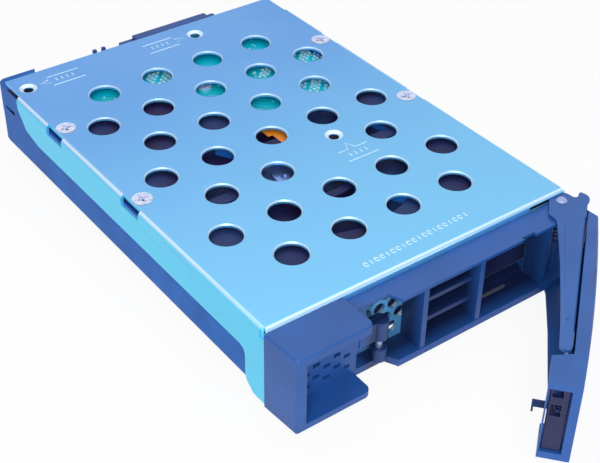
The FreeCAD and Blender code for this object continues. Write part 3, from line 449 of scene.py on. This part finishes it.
class Finishes:
    """Every finish on the caddy."""

    # Zinc plated steel sheet, rolled: satin, with faint lines along the roll and a blue passivation film.
    TRAY = PlatedSheet("zinc_plated_sheet", "#5F9BDF", "#67A2E3", Grain.ROLLED, metallic=0.5, roughness=0.4,
                       grain_mm=0.5, relief_mm=0.002, cloud_mm=34.0)
    # The same sheet where a punch has pressed it: a paler line.
    STAMP = Finish("pale_stamping", "#C4E4FA", "#D2ECFC", Grain.ROLLED, metallic=0.3, roughness=0.35)
    # ABS, moulded in a spark-eroded mould: even satin with a fine pebble, drawn at 0.5 mm so that it shows.
    # Inside the bays it darkens with painted shade.
    BEZEL = RecessedMoulding("moulded_abs_bezel", "#2056A2", "#1C4F96", Grain.MOULDED, roughness=0.46,
                             grain_mm=0.5, cloud_mm=14.0)
    # The same ABS in a smoother mould, so it shines a little more.
    GRIP = Finish("moulded_abs_grip", "#255CAA", "#20549E", Grain.MOULDED, roughness=0.42, grain_mm=0.5,
                  cloud_mm=14.0)
    # Acetal, moulded: denser and darker than the ABS round it, slightly waxy.
    BUTTON = Finish("moulded_acetal_button", "#161C50", "#131845", Grain.MOULDED, roughness=0.4, grain_mm=0.5,
                    relief_mm=0.008, ior=1.48)
    # Steel strip, folded and powder coated: a thin satin coat over faint lines across the strip.
    LEVER = Finish("coated_lever_steel", "#2C5FA8", "#27569C", Grain.BRUSHED, metallic=0.2, roughness=0.4,
                   grain_mm=0.8, relief_mm=0.006)
    # Nickel plated steel, cold headed: bright grey with a lavender cast, cloudy in the recess.
    SCREW = Finish("nickel_plated_screw", "#DDE3F6", "#B9C2E2", Grain.TURNED, metallic=0.55, roughness=0.34,
                   grain_mm=0.3, relief_mm=0.004, cloud_mm=1.2)
    # Plated steel pin, turned: bright, with a fine cloudy grain.
    PIN = Finish("plated_pin_steel", "#A9BDE4", "#90A6D4", Grain.TURNED, metallic=0.7, roughness=0.28,
                 grain_mm=0.3, relief_mm=0.003)
    # Spring steel, cold drawn: grey blue and half bright.
    WIRE = Finish("spring_wire", "#2C4478", "#25396A", Grain.TURNED, metallic=0.8, roughness=0.36,
                  grain_mm=0.3, relief_mm=0.003)
    # Aluminium die casting under a thin black coat: fine orange peel, blue where it faces the light.
    # Its top and front faces under the tray and the bezel carry painted shade.
    CASTING = CoatedCasting("black_coated_casting", "#1766BC", "#125AAC", Grain.CAST, roughness=0.55,
                            grain_mm=0.6, relief_mm=0.012, cloud_mm=10.0, ior=1.35)
    # Stainless cover, brushed across: satin grey with fine parallel lines.
    COVER = Finish("satin_cover_metal", "#7488B8", "#667BAC", Grain.BRUSHED, metallic=0.85, roughness=0.38,
                   grain_mm=0.5, relief_mm=0.003)
    # Glass fibre board under solder mask: glossy teal with darker green tracks and pale plated vias.
    BOARD = SolderMask("solder_mask_board", "#00BAD0", "#00ACC4", Grain.SMOOTH, roughness=0.3, grain_mm=1.0,
                       relief_mm=0.004, ior=1.52)
    # Liquid crystal polymer, moulded: matt and dark blue in this light.
    SOCKET = Finish("moulded_lcp_connector", "#1B4C94", "#164286", Grain.MOULDED, relief_mm=0.008)
    # Gold flash over nickel: warm and bright.
    GOLD = Finish("gold_plated_contact", "#DDB765", "#CFA652", Grain.TURNED, metallic=1.0, roughness=0.25,
                  grain_mm=0.3, relief_mm=0.002)
    # Epoxy moulding compound: matt charcoal with a faint speckle.
    CHIP = Finish("epoxy_chip_resin", "#171B3A", "#121530", Grain.SMOOTH, roughness=0.55, grain_mm=0.3,
                  relief_mm=0.006)
    # Aluminium hub, turned: bright, with a fine cloudy grain.
    HUB = Finish("machined_hub", "#93A4CE", "#8494C2", Grain.TURNED, metallic=0.9, roughness=0.3,
                 relief_mm=0.003)
    # Polyimide film: clear amber over copper, smooth.
    FILM = Finish("polyimide_film", "#E88A22", "#DB7C18", Grain.SMOOTH, roughness=0.3, grain_mm=0.8,
                  relief_mm=0.004, ior=1.7)
    # Tinned copper: small silvery ends of soldered parts.
    TIN = Finish("tinned_pad", "#E4F4FA", "#CFE6F2", Grain.TURNED, metallic=0.4, roughness=0.3, grain_mm=0.2,
                 relief_mm=0.004, cloud_mm=2.0)


# ---- studio ----
@dataclass
class Studio:
    """Camera, pale floor and soft light."""

    eye_mm: Point = (-181.7, -273.6, 229.8)
    azimuth: float = -36.89
    elevation: float = 37.14
    roll: float = 0.86
    lens_mm: float = 75.39
    sensor_mm: float = 36.0
    clip_m: Range = (0.01, 20.0)
    floor_mm: float = 6000.0
    floor_tone: str = "#F4F4F6"
    floor_glow: float = 0.9
    sky: float = 0.3
    aim_mm: Point = (0.0, -20.0, 15.0)
    # Each softbox's name, place, side and power in watts.
    lamps: tuple[tuple[str, Point, float, float], ...] = (
        ("key_softbox", (-420, -600, 520), 520, 5.6), ("top_softbox", (80, 60, 700), 700, 1.7))

    def build(self) -> None:
        """Makes the camera, the floor, the world and the lamps."""
        self.camera()
        self.floor()
        self.world()
        self.lights()
        bpy.context.scene.view_settings.view_transform = "Standard"

    def camera(self) -> None:
        """Places the camera at its eye point, turned to the viewing angle."""
        data = bpy.data.cameras.new("camera")
        data.lens = self.lens_mm
        data.sensor_width = self.sensor_mm
        data.clip_start, data.clip_end = self.clip_m
        eye = link_object("camera", data)
        turn = (Matrix.Rotation(math.radians(self.azimuth), 4, "Z")
                @ Matrix.Rotation(math.radians(90 - self.elevation), 4, "X")
                @ Matrix.Rotation(math.radians(self.roll), 4, "Z"))
        eye.matrix_world = Matrix.Translation(Vector(self.eye_mm) * MM) @ turn
        bpy.context.scene.camera = eye

    def floor(self) -> None:
        """Lays a pale floor that keeps a soft shadow and reads white to the camera."""
        half = self.floor_mm * MM / 2
        mesh = bpy.data.meshes.new("floor")
        sides = [(-half, -half, 0), (half, -half, 0), (half, half, 0), (-half, half, 0)]
        mesh.from_pydata(sides, [], [(0, 1, 2, 3)])
        plane = link_object("floor", mesh)
        paint = bpy.data.materials.new("pale_floor")
        paint.use_nodes = True
        tree = paint.node_tree
        tree.nodes.clear()
        matt = add_node(tree, "ShaderNodeBsdfDiffuse", {"Color": linear(self.floor_tone)})
        white = add_node(tree, "ShaderNodeEmission")
        seen = self.seen(tree)
        share = add_node(tree, "ShaderNodeMath", {0: seen, 1: self.floor_glow}, operation="MULTIPLY")
        mix = add_node(tree, "ShaderNodeMixShader", {
            0: share.outputs[0], 1: matt.outputs[0], 2: white.outputs[0]})
        add_node(tree, "ShaderNodeOutputMaterial", {"Surface": mix.outputs[0]})
        mesh.materials.append(paint)

    @staticmethod
    def seen(tree: Tree) -> Socket:
        """A value of 1 for rays from the camera, in a reflection or through glass.

        Args:
            tree: The tree that gets the nodes.

        Returns:
            The value socket.
        """
        rays = add_node(tree, "ShaderNodeLightPath").outputs
        share = rays["Is Camera Ray"]
        for ray in ("Is Glossy Ray", "Is Transmission Ray"):
            share = add_node(tree, "ShaderNodeMath", {0: share, 1: rays[ray]}, operation="MAXIMUM").outputs[0]
        return share

    def world(self) -> None:
        """Lights the object plainly from all round, and shows white to the camera."""
        sky = bpy.data.worlds.new("studio")
        sky.use_nodes = True
        tree = sky.node_tree
        tree.nodes.clear()
        strength = add_node(tree, "ShaderNodeMapRange", {"Value": self.seen(tree), "To Min": self.sky})
        light = add_node(tree, "ShaderNodeBackground", {
            "Color": (1, 1, 1, 1), "Strength": strength.outputs["Result"]})
        add_node(tree, "ShaderNodeOutputWorld", {"Surface": light.outputs[0]})
        bpy.context.scene.world = sky

    def lights(self) -> None:
        """Hangs the softboxes, facing the object."""
        aim = Vector([part * MM for part in self.aim_mm])
        for name, place_mm, size_mm, power in self.lamps:
            data = bpy.data.lights.new(name, "AREA")
            data.size = size_mm * MM
            data.energy = power
            place = Vector(place_mm) * MM
            turn = (aim - place).to_track_quat("-Z", "Y")
            link_object(name, data).matrix_world = Matrix.Translation(place) @ turn.to_matrix().to_4x4()


# ---- pieces ----
def dress(finish: Finish, *nodes: str) -> None:
    """Gives CAD nodes their finish.

    Args:
        finish: The finish.
        *nodes: The nodes' names.
    """
    for node in nodes:
        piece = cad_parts[node]
        piece.data.materials.clear()
        piece.data.materials.append(finish.material())
        log.info("dressed %s as %s", node, finish.name)


def merged(node: str, name: str) -> Mesh:
    """A copy of a CAD node's mesh with its loose triangles joined.

    Args:
        node: The CAD node.
        name: The new mesh's name.

    Returns:
        The joined mesh, with no material.
    """
    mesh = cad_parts[node].data.copy()
    mesh.name = name
    form = bmesh.new()
    form.from_mesh(mesh)
    bmesh.ops.remove_doubles(form, verts=form.verts, dist=WELD_MM * MM)
    bmesh.ops.dissolve_limit(form, angle_limit=FLAT_ANGLE, verts=form.verts, edges=form.edges)
    form.to_mesh(mesh)
    form.free()
    mesh.materials.clear()
    return mesh


def softened(node: str, name: str, finish: Finish, radius_mm: float, body: str) -> None:
    """A copy of a rigid CAD piece with its sharp edges broken, as a mould or a tumbled blank leaves them.

    Args:
        node: The CAD node that the copy stands for.
        name: The new piece's name.
        finish: Its finish.
        radius_mm: The radius of the broken edges.
        body: The body that it rides on.
    """
    mesh = merged(node, name)
    mesh.materials.append(finish.material())
    mesh.shade_smooth()
    mesh.set_sharp_from_angle(angle=SHARP_ANGLE)
    piece = link_object(name, mesh)
    bevel = piece.modifiers.new("edges", "BEVEL")
    bevel.width = radius_mm * MM
    bevel.segments = EDGE_STEPS
    bevel.limit_method = "ANGLE"
    bevel.angle_limit = BEVEL_ANGLE
    bevel.harden_normals = True
    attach(piece, body)
    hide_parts(node)
    log.info("made %s from %s", name, node)


@dataclass(frozen=True)
class Block:
    """A straight block between two corners, with broken edges where it has a radius."""

    name: str
    low_mm: Point
    high_mm: Point
    finish: Finish
    radius_mm: float = 0.0

    def shape(self) -> Object:
        """Makes the block as a plain object.

        Returns:
            The object, which rides on nothing yet.
        """
        form = bmesh.new()
        bmesh.ops.create_cube(form, size=1.0)
        for vert in form.verts:
            vert.co = Vector([(low + (high - low) * (side + 0.5)) * MM
                              for low, high, side in zip(self.low_mm, self.high_mm, vert.co)])
        if self.radius_mm:
            bmesh.ops.bevel(form, geom=form.edges, offset=self.radius_mm * MM, segments=EDGE_STEPS,
                            affect="EDGES", profile=ROUND)
        mesh = bpy.data.meshes.new(self.name)
        form.to_mesh(mesh)
        form.free()
        mesh.materials.append(self.finish.material())
        return link_object(self.name, mesh)

    def build(self, slot: str) -> None:
        """Makes the block as a piece that rides on the carrier.

        Args:
            slot: The record's material slot. It is not used.
        """
        piece = self.shape()
        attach(piece, "carrier")
        log.info("made %s", self.name)


def applied(piece: Object) -> Mesh:
    """Turns what an object's modifiers make into its plain mesh.

    Args:
        piece: The object.

    Returns:
        Its new mesh.
    """
    bpy.context.view_layer.update()
    graph = bpy.context.evaluated_depsgraph_get()
    made = bpy.data.meshes.new_from_object(piece.evaluated_get(graph))
    piece.modifiers.clear()
    piece.data = made
    made.name = piece.name
    return made


def cut_copy(node: str, name: str, finish: Finish, tools: list[Object]) -> None:
    """A merged copy of a carrier node, less some tools, whose finish stays on the cuts that they leave.

    Args:
        node: The CAD node that the copy stands for.
        name: The new piece's name.
        finish: Its finish.
        tools: The objects to take away, which are deleted.
    """
    piece = link_object(name, merged(node, name))
    piece.data.materials.append(finish.material())
    for tool in tools:
        cut = piece.modifiers.new(tool.name, "BOOLEAN")
        cut.object = tool
        cut.operation = "DIFFERENCE"
        cut.solver = "EXACT"
        cut.material_mode = "TRANSFER"
    made = applied(piece)
    made.set_sharp_from_angle(angle=SHARP_ANGLE)
    for face in made.polygons:
        face.use_smooth = max(abs(part) for part in face.normal) < ALONG_AXIS
    for tool in tools:
        bpy.data.objects.remove(tool)
    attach(piece, "carrier")
    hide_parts(node)
    log.info("made %s from %s: %d faces", name, node, len(made.polygons))


def grow(name: str, tree: Tree, values: dict[str, Any], base: Mesh) -> Object:
    """Runs a node tree once and keeps what it makes as a plain mesh.

    Args:
        name: The new piece's name.
        tree: The geometry tree.
        values: Input name to value.
        base: The mesh that the tree starts from.

    Returns:
        The new piece, with no modifier left.
    """
    piece = link_object(name, base)
    maker = piece.modifiers.new("maker", "NODES")
    maker.node_group = tree
    for item in tree.interface.items_tree:
        if item.in_out == "INPUT" and item.name in values:
            maker[item.identifier] = values[item.name]
    applied(piece)
    return piece


def points_mesh(name: str, places: Iterable[Vector]) -> Mesh:
    """A mesh of loose points, for a tree to put things on.

    Args:
        name: The mesh's name.
        places: The points, in metres.

    Returns:
        The mesh.
    """
    mesh = bpy.data.meshes.new(name)
    mesh.from_pydata([tuple(p) for p in places], [], [])
    return mesh


def new_tree(name: str, sizes: Iterable[str]) -> tuple[Tree, Node]:
    """Starts a geometry tree with named float inputs and a material input.

    Args:
        name: The tree's name.
        sizes: The names of its float inputs.

    Returns:
        The tree and its input node.
    """
    tree = bpy.data.node_groups.new(name, "GeometryNodeTree")
    for way in ("OUTPUT", "INPUT"):
        tree.interface.new_socket(name="Geometry", in_out=way, socket_type="NodeSocketGeometry")
    for size in sizes:
        tree.interface.new_socket(name=size, in_out="INPUT", socket_type="NodeSocketFloat")
    tree.interface.new_socket(name="Material", in_out="INPUT", socket_type="NodeSocketMaterial")
    return tree, add_node(tree, "NodeGroupInput")


def end_tree(tree: Tree, shape: Socket, entry: Node) -> None:
    """Ends a tree: real geometry, in its material.

    Args:
        tree: The tree.
        shape: What it made.
        entry: Its input node.
    """
    real = add_node(tree, "GeometryNodeRealizeInstances", {"Geometry": shape})
    painted = add_node(tree, "GeometryNodeSetMaterial", {
        "Geometry": real.outputs["Geometry"], "Material": entry.outputs["Material"]})
    add_node(tree, "NodeGroupOutput", {"Geometry": painted.outputs["Geometry"]})


def middles(node: str, count: int) -> list[Vector]:
    """The middle of each loose part of a CAD node's mesh.

    Args:
        node: The node's name.
        count: How many parts there should be.

    Returns:
        One point for each part, at the middle of its box.
    """
    form = bmesh.new()
    form.from_mesh(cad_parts[node].data)
    bmesh.ops.remove_doubles(form, verts=form.verts, dist=LOOSE_WELD_MM * MM)
    left = set(form.verts)
    found = []
    while left:
        heap = [left.pop()]
        part = []
        while heap:
            vert = heap.pop()
            part.append(vert.co.copy())
            for edge in vert.link_edges:
                other = edge.other_vert(vert)
                if other in left:
                    left.remove(other)
                    heap.append(other)
        low = Vector([min(p[k] for p in part) for k in range(3)])
        high = Vector([max(p[k] for p in part) for k in range(3)])
        found.append((low + high) / 2)
    form.free()
    if len(found) != count:
        log.warning("%s has %d loose parts, not %d", node, len(found), count)
    return sorted(found, key=lambda p: (round(p.y, PLACE_DIGITS), round(p.x, PLACE_DIGITS)))


@dataclass
class CrossHeadScrews:
    """Cross recess screws, one for each loose part of a CAD node, with their heads' faces at one level."""

    name: str
    node: str
    count: int
    # The level is in metres and the next five sizes in millimetres. The recess's are shares of the head's.
    level: float
    head_r: float
    rim_r: float
    head_h: float
    shank_r: float
    length: float
    axis: int = 2
    turn: Point = (0.0, 0.0, 0.0)
    recess_span: float = 0.55
    recess_width: float = 0.15
    recess_depth: float = 1.3
    head_sides: int = 40
    shank_sides: int = 24

    SIZES = ("Head Radius", "Lower Radius", "Head Height", "Shank Radius", "Length", "Recess Span",
             "Recess Width")

    def tree(self) -> Tree:
        """Builds the tree: a head and a shank, less a cross, on every point.

        Returns:
            The tree.
        """
        tree, entry = new_tree("cross_head_screws_" + self.name, self.SIZES)
        size = entry.outputs
        cone = add_node(tree, "GeometryNodeMeshCone", {
            "Vertices": self.head_sides, "Radius Top": size["Head Radius"],
            "Radius Bottom": size["Lower Radius"], "Depth": size["Head Height"]}).outputs["Mesh"]
        bar = add_node(tree, "GeometryNodeMeshCylinder", {
            "Vertices": self.shank_sides, "Radius": size["Shank Radius"],
            "Depth": size["Length"]}).outputs["Mesh"]
        down, deep = [add_node(tree, "ShaderNodeMath", {
            0: size["Head Height"], 1: factor}, operation="MULTIPLY").outputs[0]
            for factor in (-1.0, self.recess_depth)]
        below = add_node(tree, "ShaderNodeMath", {
            0: size["Length"], 1: -0.5, 2: down}, operation="MULTIPLY_ADD").outputs[0]
        head, shank = [add_node(tree, "GeometryNodeTransform", {
            "Geometry": part, "Translation": add_node(tree, "ShaderNodeCombineXYZ", {"Z": drop}).outputs[0]
            }).outputs[0] for part, drop in ((cone, down), (bar, below))]
        cut = add_node(tree, "GeometryNodeMeshBoolean", {"Mesh 1": head}, operation="DIFFERENCE")
        for across, along in (("Recess Span", "Recess Width"), ("Recess Width", "Recess Span")):
            arm = add_node(tree, "ShaderNodeCombineXYZ", {"X": size[across], "Y": size[along], "Z": deep})
            blade = add_node(tree, "GeometryNodeMeshCube", {"Size": arm.outputs[0]})
            tree.links.new(blade.outputs["Mesh"], cut.inputs["Mesh 2"])
        screw = add_node(tree, "GeometryNodeJoinGeometry")
        for part in (cut.outputs["Mesh"], shank):
            tree.links.new(part, screw.inputs[0])
        turned = add_node(tree, "GeometryNodeTransform", {
            "Geometry": screw.outputs[0], "Rotation": self.turn})
        spread = add_node(tree, "GeometryNodeInstanceOnPoints", {
            "Points": entry.outputs["Geometry"], "Instance": turned.outputs["Geometry"]})
        end_tree(tree, spread.outputs["Instances"], entry)
        return tree

    def build(self) -> None:
        """Makes the screws as one piece that stands for the CAD node."""
        places = middles(self.node, self.count)
        for place in places:
            place[self.axis] = self.level
        sizes = (self.head_r, self.rim_r, self.head_h, self.shank_r, self.length,
                 self.head_r * self.recess_span * 2, self.head_r * self.recess_width * 2)
        values = {name: size * MM for name, size in zip(self.SIZES, sizes)}
        values["Material"] = Finishes.SCREW.material()
        piece = grow(self.name, self.tree(), values, points_mesh(self.name, places))
        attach(piece, "carrier")
        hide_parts(self.node)
        log.info("made %s: %d screws", self.name, len(places))


@dataclass
class TraySheet:
    """The folded sheet, its pressed marks and its four screws."""

    stroke_mm: float = 0.36
    stroke_sides: int = 8
    press_mm: float = 0.08
    window: Block = Block("window", (-5.4, -88.5, -1.0), (39.4, -84.6, 23.6), Finishes.TRAY)
    # For each rear hole, where its guide lines start and end and where its arrow's tip is, in x.
    guides_mm: tuple[Point, ...] = ((-38.8, -27.6, -42.2), (-3.6, 7.4, 10.9))
    guide_rows_mm: Range = (46.6, 52.1)
    arrow_lift_mm: float = 0.2
    arrow_half_mm: float = 1.1
    # The third hole's guide line has a peak in it, and its other line is straight.
    peaked_mm: tuple[Range, ...] = ((10.4, -35.6), (14.0, -35.6), (15.4, -32.6), (16.8, -35.6), (21.0, -35.6))
    straight_mm: tuple[Range, ...] = ((10.3, -40.9), (21.3, -40.9))
    third_ticks_mm: Point = (13.0, -39.1, -37.4)
    tick_count: int = 4
    tick_step_mm: float = 1.9
    tick_inset_mm: float = 2.4
    tick_half_mm: float = 0.9
    tally_ends_mm: tuple[Range, Range] = ((-15.6, -80.9), (20.2, -79.4))
    tally_count: int = 20
    bar_every: int = 3
    bar_half_mm: float = 0.85
    ring_mm: Range = (0.55, 0.8)
    ring_steps: int = 9

    def build(self) -> None:
        """Makes the sheet with its marks pressed in, and its screws."""
        top = corners("tray")[1].z
        tools = [self.punch(self.arrows() + self.tally(), top), self.window.shape()]
        cut_copy("tray", "tray_sheet", Finishes.TRAY, tools)
        CrossHeadScrews("tray_screw_heads", "tray_screws", 4, top, head_r=2.9, rim_r=1.75, head_h=0.9,
                        shank_r=1.65, length=4.0).build()

    def stroke_tree(self) -> Tree:
        """Builds the tree that turns drawn lines into flattened round bars.

        Returns:
            The tree.
        """
        tree, entry = new_tree("stamped_strokes", ("Width", "Depth"))
        size = entry.outputs
        lines = add_node(tree, "GeometryNodeMeshToCurve", {"Mesh": entry.outputs["Geometry"]})
        half = add_node(tree, "ShaderNodeMath", {0: size["Width"], 1: 0.5}, operation="MULTIPLY").outputs[0]
        ring = add_node(tree, "GeometryNodeCurvePrimitiveCircle", {
            "Resolution": self.stroke_sides, "Radius": half})
        bar = add_node(tree, "GeometryNodeCurveToMesh", {
            "Curve": lines.outputs["Curve"], "Profile Curve": ring.outputs["Curve"], "Fill Caps": True})
        share = add_node(tree, "ShaderNodeMath", {0: size["Depth"], 1: half}, operation="DIVIDE").outputs[0]
        squeeze = add_node(tree, "ShaderNodeCombineXYZ", {"X": 1.0, "Y": 1.0, "Z": share}).outputs[0]
        flat = add_node(tree, "GeometryNodeTransform", {"Geometry": bar.outputs["Mesh"], "Scale": squeeze})
        end_tree(tree, flat.outputs["Geometry"], entry)
        return tree

    def punch(self, strokes: Strokes, top: float) -> Object:
        """Makes the punch that presses a set of strokes into the sheet's top.

        Args:
            strokes: Each stroke's corners in millimetres.
            top: The height of the sheet's top in metres.

        Returns:
            The punch, centred on the sheet's top.
        """
        verts, edges = [], []
        for stroke in strokes:
            first = len(verts)
            verts += [(x * MM, y * MM, 0.0) for x, y in stroke]
            edges += [(first + k, first + k + 1) for k in range(len(stroke) - 1)]
        base = bpy.data.meshes.new("punch")
        base.from_pydata(verts, edges, [])
        punch = grow("punch", self.stroke_tree(), {
            "Width": self.stroke_mm * MM, "Depth": self.press_mm * MM,
            "Material": Finishes.STAMP.material()}, base)
        punch.data.transform(Matrix.Translation((0, 0, top)))
        return punch

    def ticks(self, start: float, low: float, high: float) -> Strokes:
        """Plain ticks between two heights, in a row that starts at one x."""
        steps = [start + self.tick_step_mm * k for k in range(self.tick_count)]
        return [[(x, low), (x, high)] for x in steps]

    def arrows(self) -> Strokes:
        """Two guide lines, an arrow head or a peak, and plain ticks beside each small countersunk hole.

        Returns:
            Each stroke's corners, in millimetres.
        """
        low, high = self.guide_rows_mm
        mid = (low + high) / 2 + self.arrow_lift_mm
        strokes = []
        for left, right, tip in self.guides_mm:
            tail = left if tip < left else right
            strokes += [[(left, low), (right, low)], [(left, high), (right, high)],
                        [(tail, mid + self.arrow_half_mm), (tip, mid), (tail, mid - self.arrow_half_mm)]]
            strokes += self.ticks(left + self.tick_inset_mm, mid - self.tick_half_mm, mid + self.tick_half_mm)
        return strokes + [self.peaked_mm, self.straight_mm] + self.ticks(*self.third_ticks_mm)

    def tally(self) -> Strokes:
        """A row of plain counting marks along the front edge: a short bar in every three, small rings else.

        Returns:
            Each stroke's corners, in millimetres.
        """
        start, end = [Vector(place) for place in self.tally_ends_mm]
        turns = [2 * math.pi * step / self.ring_steps for step in range(self.ring_steps)]
        wide, tall = self.ring_mm
        strokes = []
        for k in range(self.tally_count):
            x, y = start.lerp(end, k / (self.tally_count - 1))
            if k % self.bar_every == 1:
                strokes.append([(x, y - self.bar_half_mm), (x, y + self.bar_half_mm)])
            else:
                strokes.append([(x + wide * math.cos(a), y + tall * math.sin(a)) for a in turns])
        return strokes


@dataclass
class Bezel:
    """The moulded front, the lip behind its floor, the strip in its floor's slit, screws and strike pin."""

    edge_mm: float = 0.22
    blocks: tuple[Block, ...] = (
        Block("bay_lip", (-4.8, -86.9, 1.5), (38.1, -84.0, 5.0), Finishes.BEZEL, edge_mm),
        Block("lip_corner", (37.9, -85.5, 1.5), (43.5, -84.0, 5.0), Finishes.BEZEL, edge_mm),
        Block("floor_strip", (15.2, -91.6, 1.6), (31.9, -89.1, 3.65), Finishes.BEZEL, edge_mm))

    def build(self) -> None:
        """Makes the moulding with soft edges and dresses what it holds."""
        softened("bezel", "bezel_moulding", Finishes.BEZEL, self.edge_mm, "carrier")
        dress(Finishes.PIN, "strike_pin")
        for block in self.blocks:
            block.build("bezel_plastic")
        CrossHeadScrews("bezel_screw_heads", "bezel_screws", 2, corners("bezel_screws")[1].y, head_r=2.0,
                        rim_r=2.1, head_h=1.2, shank_r=1.0, length=4.0, axis=1,
                        turn=(-math.pi / 2, 0.0, 0.0)).build()


@dataclass
class Handle:
    """Lever, grip, latch clip, button and springs."""

    steel_edge_mm: float = 0.12
    plastic_edge_mm: float = 0.3
    button_edge_mm: float = 0.15

    def build(self) -> None:
        """Makes the moulded and folded pieces with soft edges and dresses the rest."""
        softened("handle_lever", "lever_channel", Finishes.LEVER, self.steel_edge_mm, "handle")
        softened("handle_grip", "grip_moulding", Finishes.GRIP, self.plastic_edge_mm, "handle")
        softened("release_button", "button_moulding", Finishes.BUTTON, self.button_edge_mm, "button")
        dress(Finishes.PIN, "grip_rivets", "clip_rivet", "pivot_pin")
        dress(Finishes.WIRE, "latch_clip", "button_spring", "handle_spring")


@dataclass
class Drive:
    """The drive: casting, cover, board and what is soldered on it."""

    seed: int = 11
    # How far the bosses rise above the casting's top.
    boss_mm: float = 1.4
    # How far the rear face is cut back, and how far under the top the cut ends.
    step_mm: float = 2.6
    step_drop_mm: float = 9.6
    # Right of this x the rear edge is cut back and down by this much, so that the sheet hides it.
    edge_x_mm: float = -37.6
    edge_mm: Range = (3.4, 3.7)
    board_gap_mm: float = 0.1
    # How far the cutting blocks reach past the casting.
    past_mm: float = 1.0
    part_mm: Point = (1.0, 0.55, 0.45)
    part_step_mm: float = 1.6
    # Each bar's name, span in x, reach in front of the connector's rear, rise over its top and edge radius.
    bars: tuple[tuple[str, Range, Range, Range, float], ...] = (
        ("connector_back", (-1.2, 27.7), (3.4, 0.1), (-0.4, 1.3), 0.2),
        ("guide_post_0", (-16.75, -15.45), (1.9, 0.7), (-1.2, 1.0), 0.15),
        ("guide_post_1", (-13.45, -12.15), (1.9, 0.7), (-1.2, 1.0), 0.15))
    # Each field's name, first part in x and y, and numbers of parts across and along.
    fields: tuple[tuple[str, float, float, int, int], ...] = (
        ("parts_rear_left", -10.6, 32.4, 6, 5), ("parts_right", 37.4, 16.6, 5, 5),
        ("parts_front", 27.6, -0.6, 5, 5), ("parts_middle", 19.6, 17.4, 4, 3))

    def build(self) -> None:
        """Dresses the drive's pieces and fills its board."""
        self.casting()
        dress(Finishes.COVER, "drive_cover")
        dress(Finishes.SOCKET, "data_power_connector", "jumper_block")
        dress(Finishes.GOLD, "connector_contacts", "jumper_pins")
        dress(Finishes.CHIP, "controller_chip", "motor_chip", "memory_chip")
        dress(Finishes.HUB, "spindle_hub")
        dress(Finishes.FILM, "motor_flex")
        CrossHeadScrews("cover_screw_heads", "cover_screws", 6, corners("cover_screws")[0].z, head_r=1.9,
                        rim_r=2.4, head_h=0.9, shank_r=1.4, length=0.9, turn=(math.pi, 0.0, 0.0)).build()
        CrossHeadScrews("board_screw_heads", "board_screws", 5, corners("board_screws")[1].z, head_r=2.2,
                        rim_r=2.3, head_h=0.9, shank_r=1.0, length=3.4).build()
        self.rear_bars()
        self.small_parts()

    def casting(self) -> None:
        """Steps the casting's rear face and lowers its rear edge, with the board ending in front of it."""
        low, high = [corner / MM for corner in corners("drive_base")]
        top, rear, past = high.z - self.boss_mm, high.y, self.past_mm
        depth, drop = self.edge_mm
        end = (high.x + past, rear + past, high.z + past)
        step = Block("rear_step", (low.x - past, rear - self.step_mm, low.z - past),
                     (high.x + past, rear + past, top - self.step_drop_mm), Finishes.CASTING)
        edge = Block("rear_edge", (self.edge_x_mm, rear - depth, top - drop), end, Finishes.CASTING)
        board = Block("board_end", (low.x - past, rear - depth + self.board_gap_mm, low.z), end,
                      Finishes.BOARD)
        cut_copy("drive_base", "drive_casting", Finishes.CASTING, [step.shape(), edge.shape()])
        cut_copy("circuit_board", "circuit_board_cut", Finishes.BOARD, [board.shape()])

    def rear_bars(self) -> None:
        """Raises the connector's back and the guide posts of the pin carrier above the board."""
        rear, top = [part / MM for part in corners("data_power_connector")[1].yz]
        for name, x_mm, reach_mm, rise_mm, edge_mm in self.bars:
            low, high = [(x, rear - reach, top + rise) for x, reach, rise in zip(x_mm, reach_mm, rise_mm)]
            Block(name, low, high, Finishes.SOCKET, edge_mm).build("connector_plastic")

    def part_tree(self) -> Tree:
        """Builds the tree that sets small soldered parts on points, each turned a quarter or not.

        Returns:
            The tree.
        """
        tree, entry = new_tree("soldered_parts", ("Length", "Width", "Height"))
        size = entry.outputs
        sides = add_node(tree, "ShaderNodeCombineXYZ", {
            "X": size["Length"], "Y": size["Width"], "Z": size["Height"]}).outputs[0]
        chip = add_node(tree, "GeometryNodeMeshCube", {"Size": sides}).outputs["Mesh"]
        quarter = add_node(tree, "FunctionNodeRandomValue", {
            "Min": 0, "Max": 1, "Seed": self.seed}, data_type="INT")
        angle = add_node(tree, "ShaderNodeMath", {
            0: quarter.outputs[2], 1: math.pi / 2}, operation="MULTIPLY").outputs[0]
        turn = add_node(tree, "ShaderNodeCombineXYZ", {"Z": angle}).outputs[0]
        spread = add_node(tree, "GeometryNodeInstanceOnPoints", {
            "Points": entry.outputs["Geometry"], "Instance": chip, "Rotation": turn})
        end_tree(tree, spread.outputs["Instances"], entry)
        return tree

    def small_parts(self) -> None:
        """Sets resistors and capacitors in the busy fields of the board."""
        top = corners("circuit_board")[1].z + self.part_mm[2] * MM / 2
        values = {name: size * MM for name, size in zip(("Length", "Width", "Height"), self.part_mm)}
        values["Material"] = Finishes.TIN.material()
        step = self.part_step_mm
        for number, (name, x, y, columns, rows) in enumerate(self.fields):
            # One place in four stays empty, and the pattern differs from field to field.
            places = [Vector(((x + step * c) * MM, (y + step * r) * MM, top))
                      for c in range(columns) for r in range(rows) if (c * 7 + r * 5 + number) % 4]
            piece = grow(name, self.part_tree(), values, points_mesh(name, places))
            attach(piece, "carrier")
            log.info("made %s: %d parts", name, len(places))


def main() -> None:
    """Builds the studio and every sub-assembly."""
    logging.basicConfig(level=logging.INFO)
    Studio().build()
    for assembly in (TraySheet(), Bezel(), Handle(), Drive()):
        assembly.build()


if __name__ == "__main__":
    main()
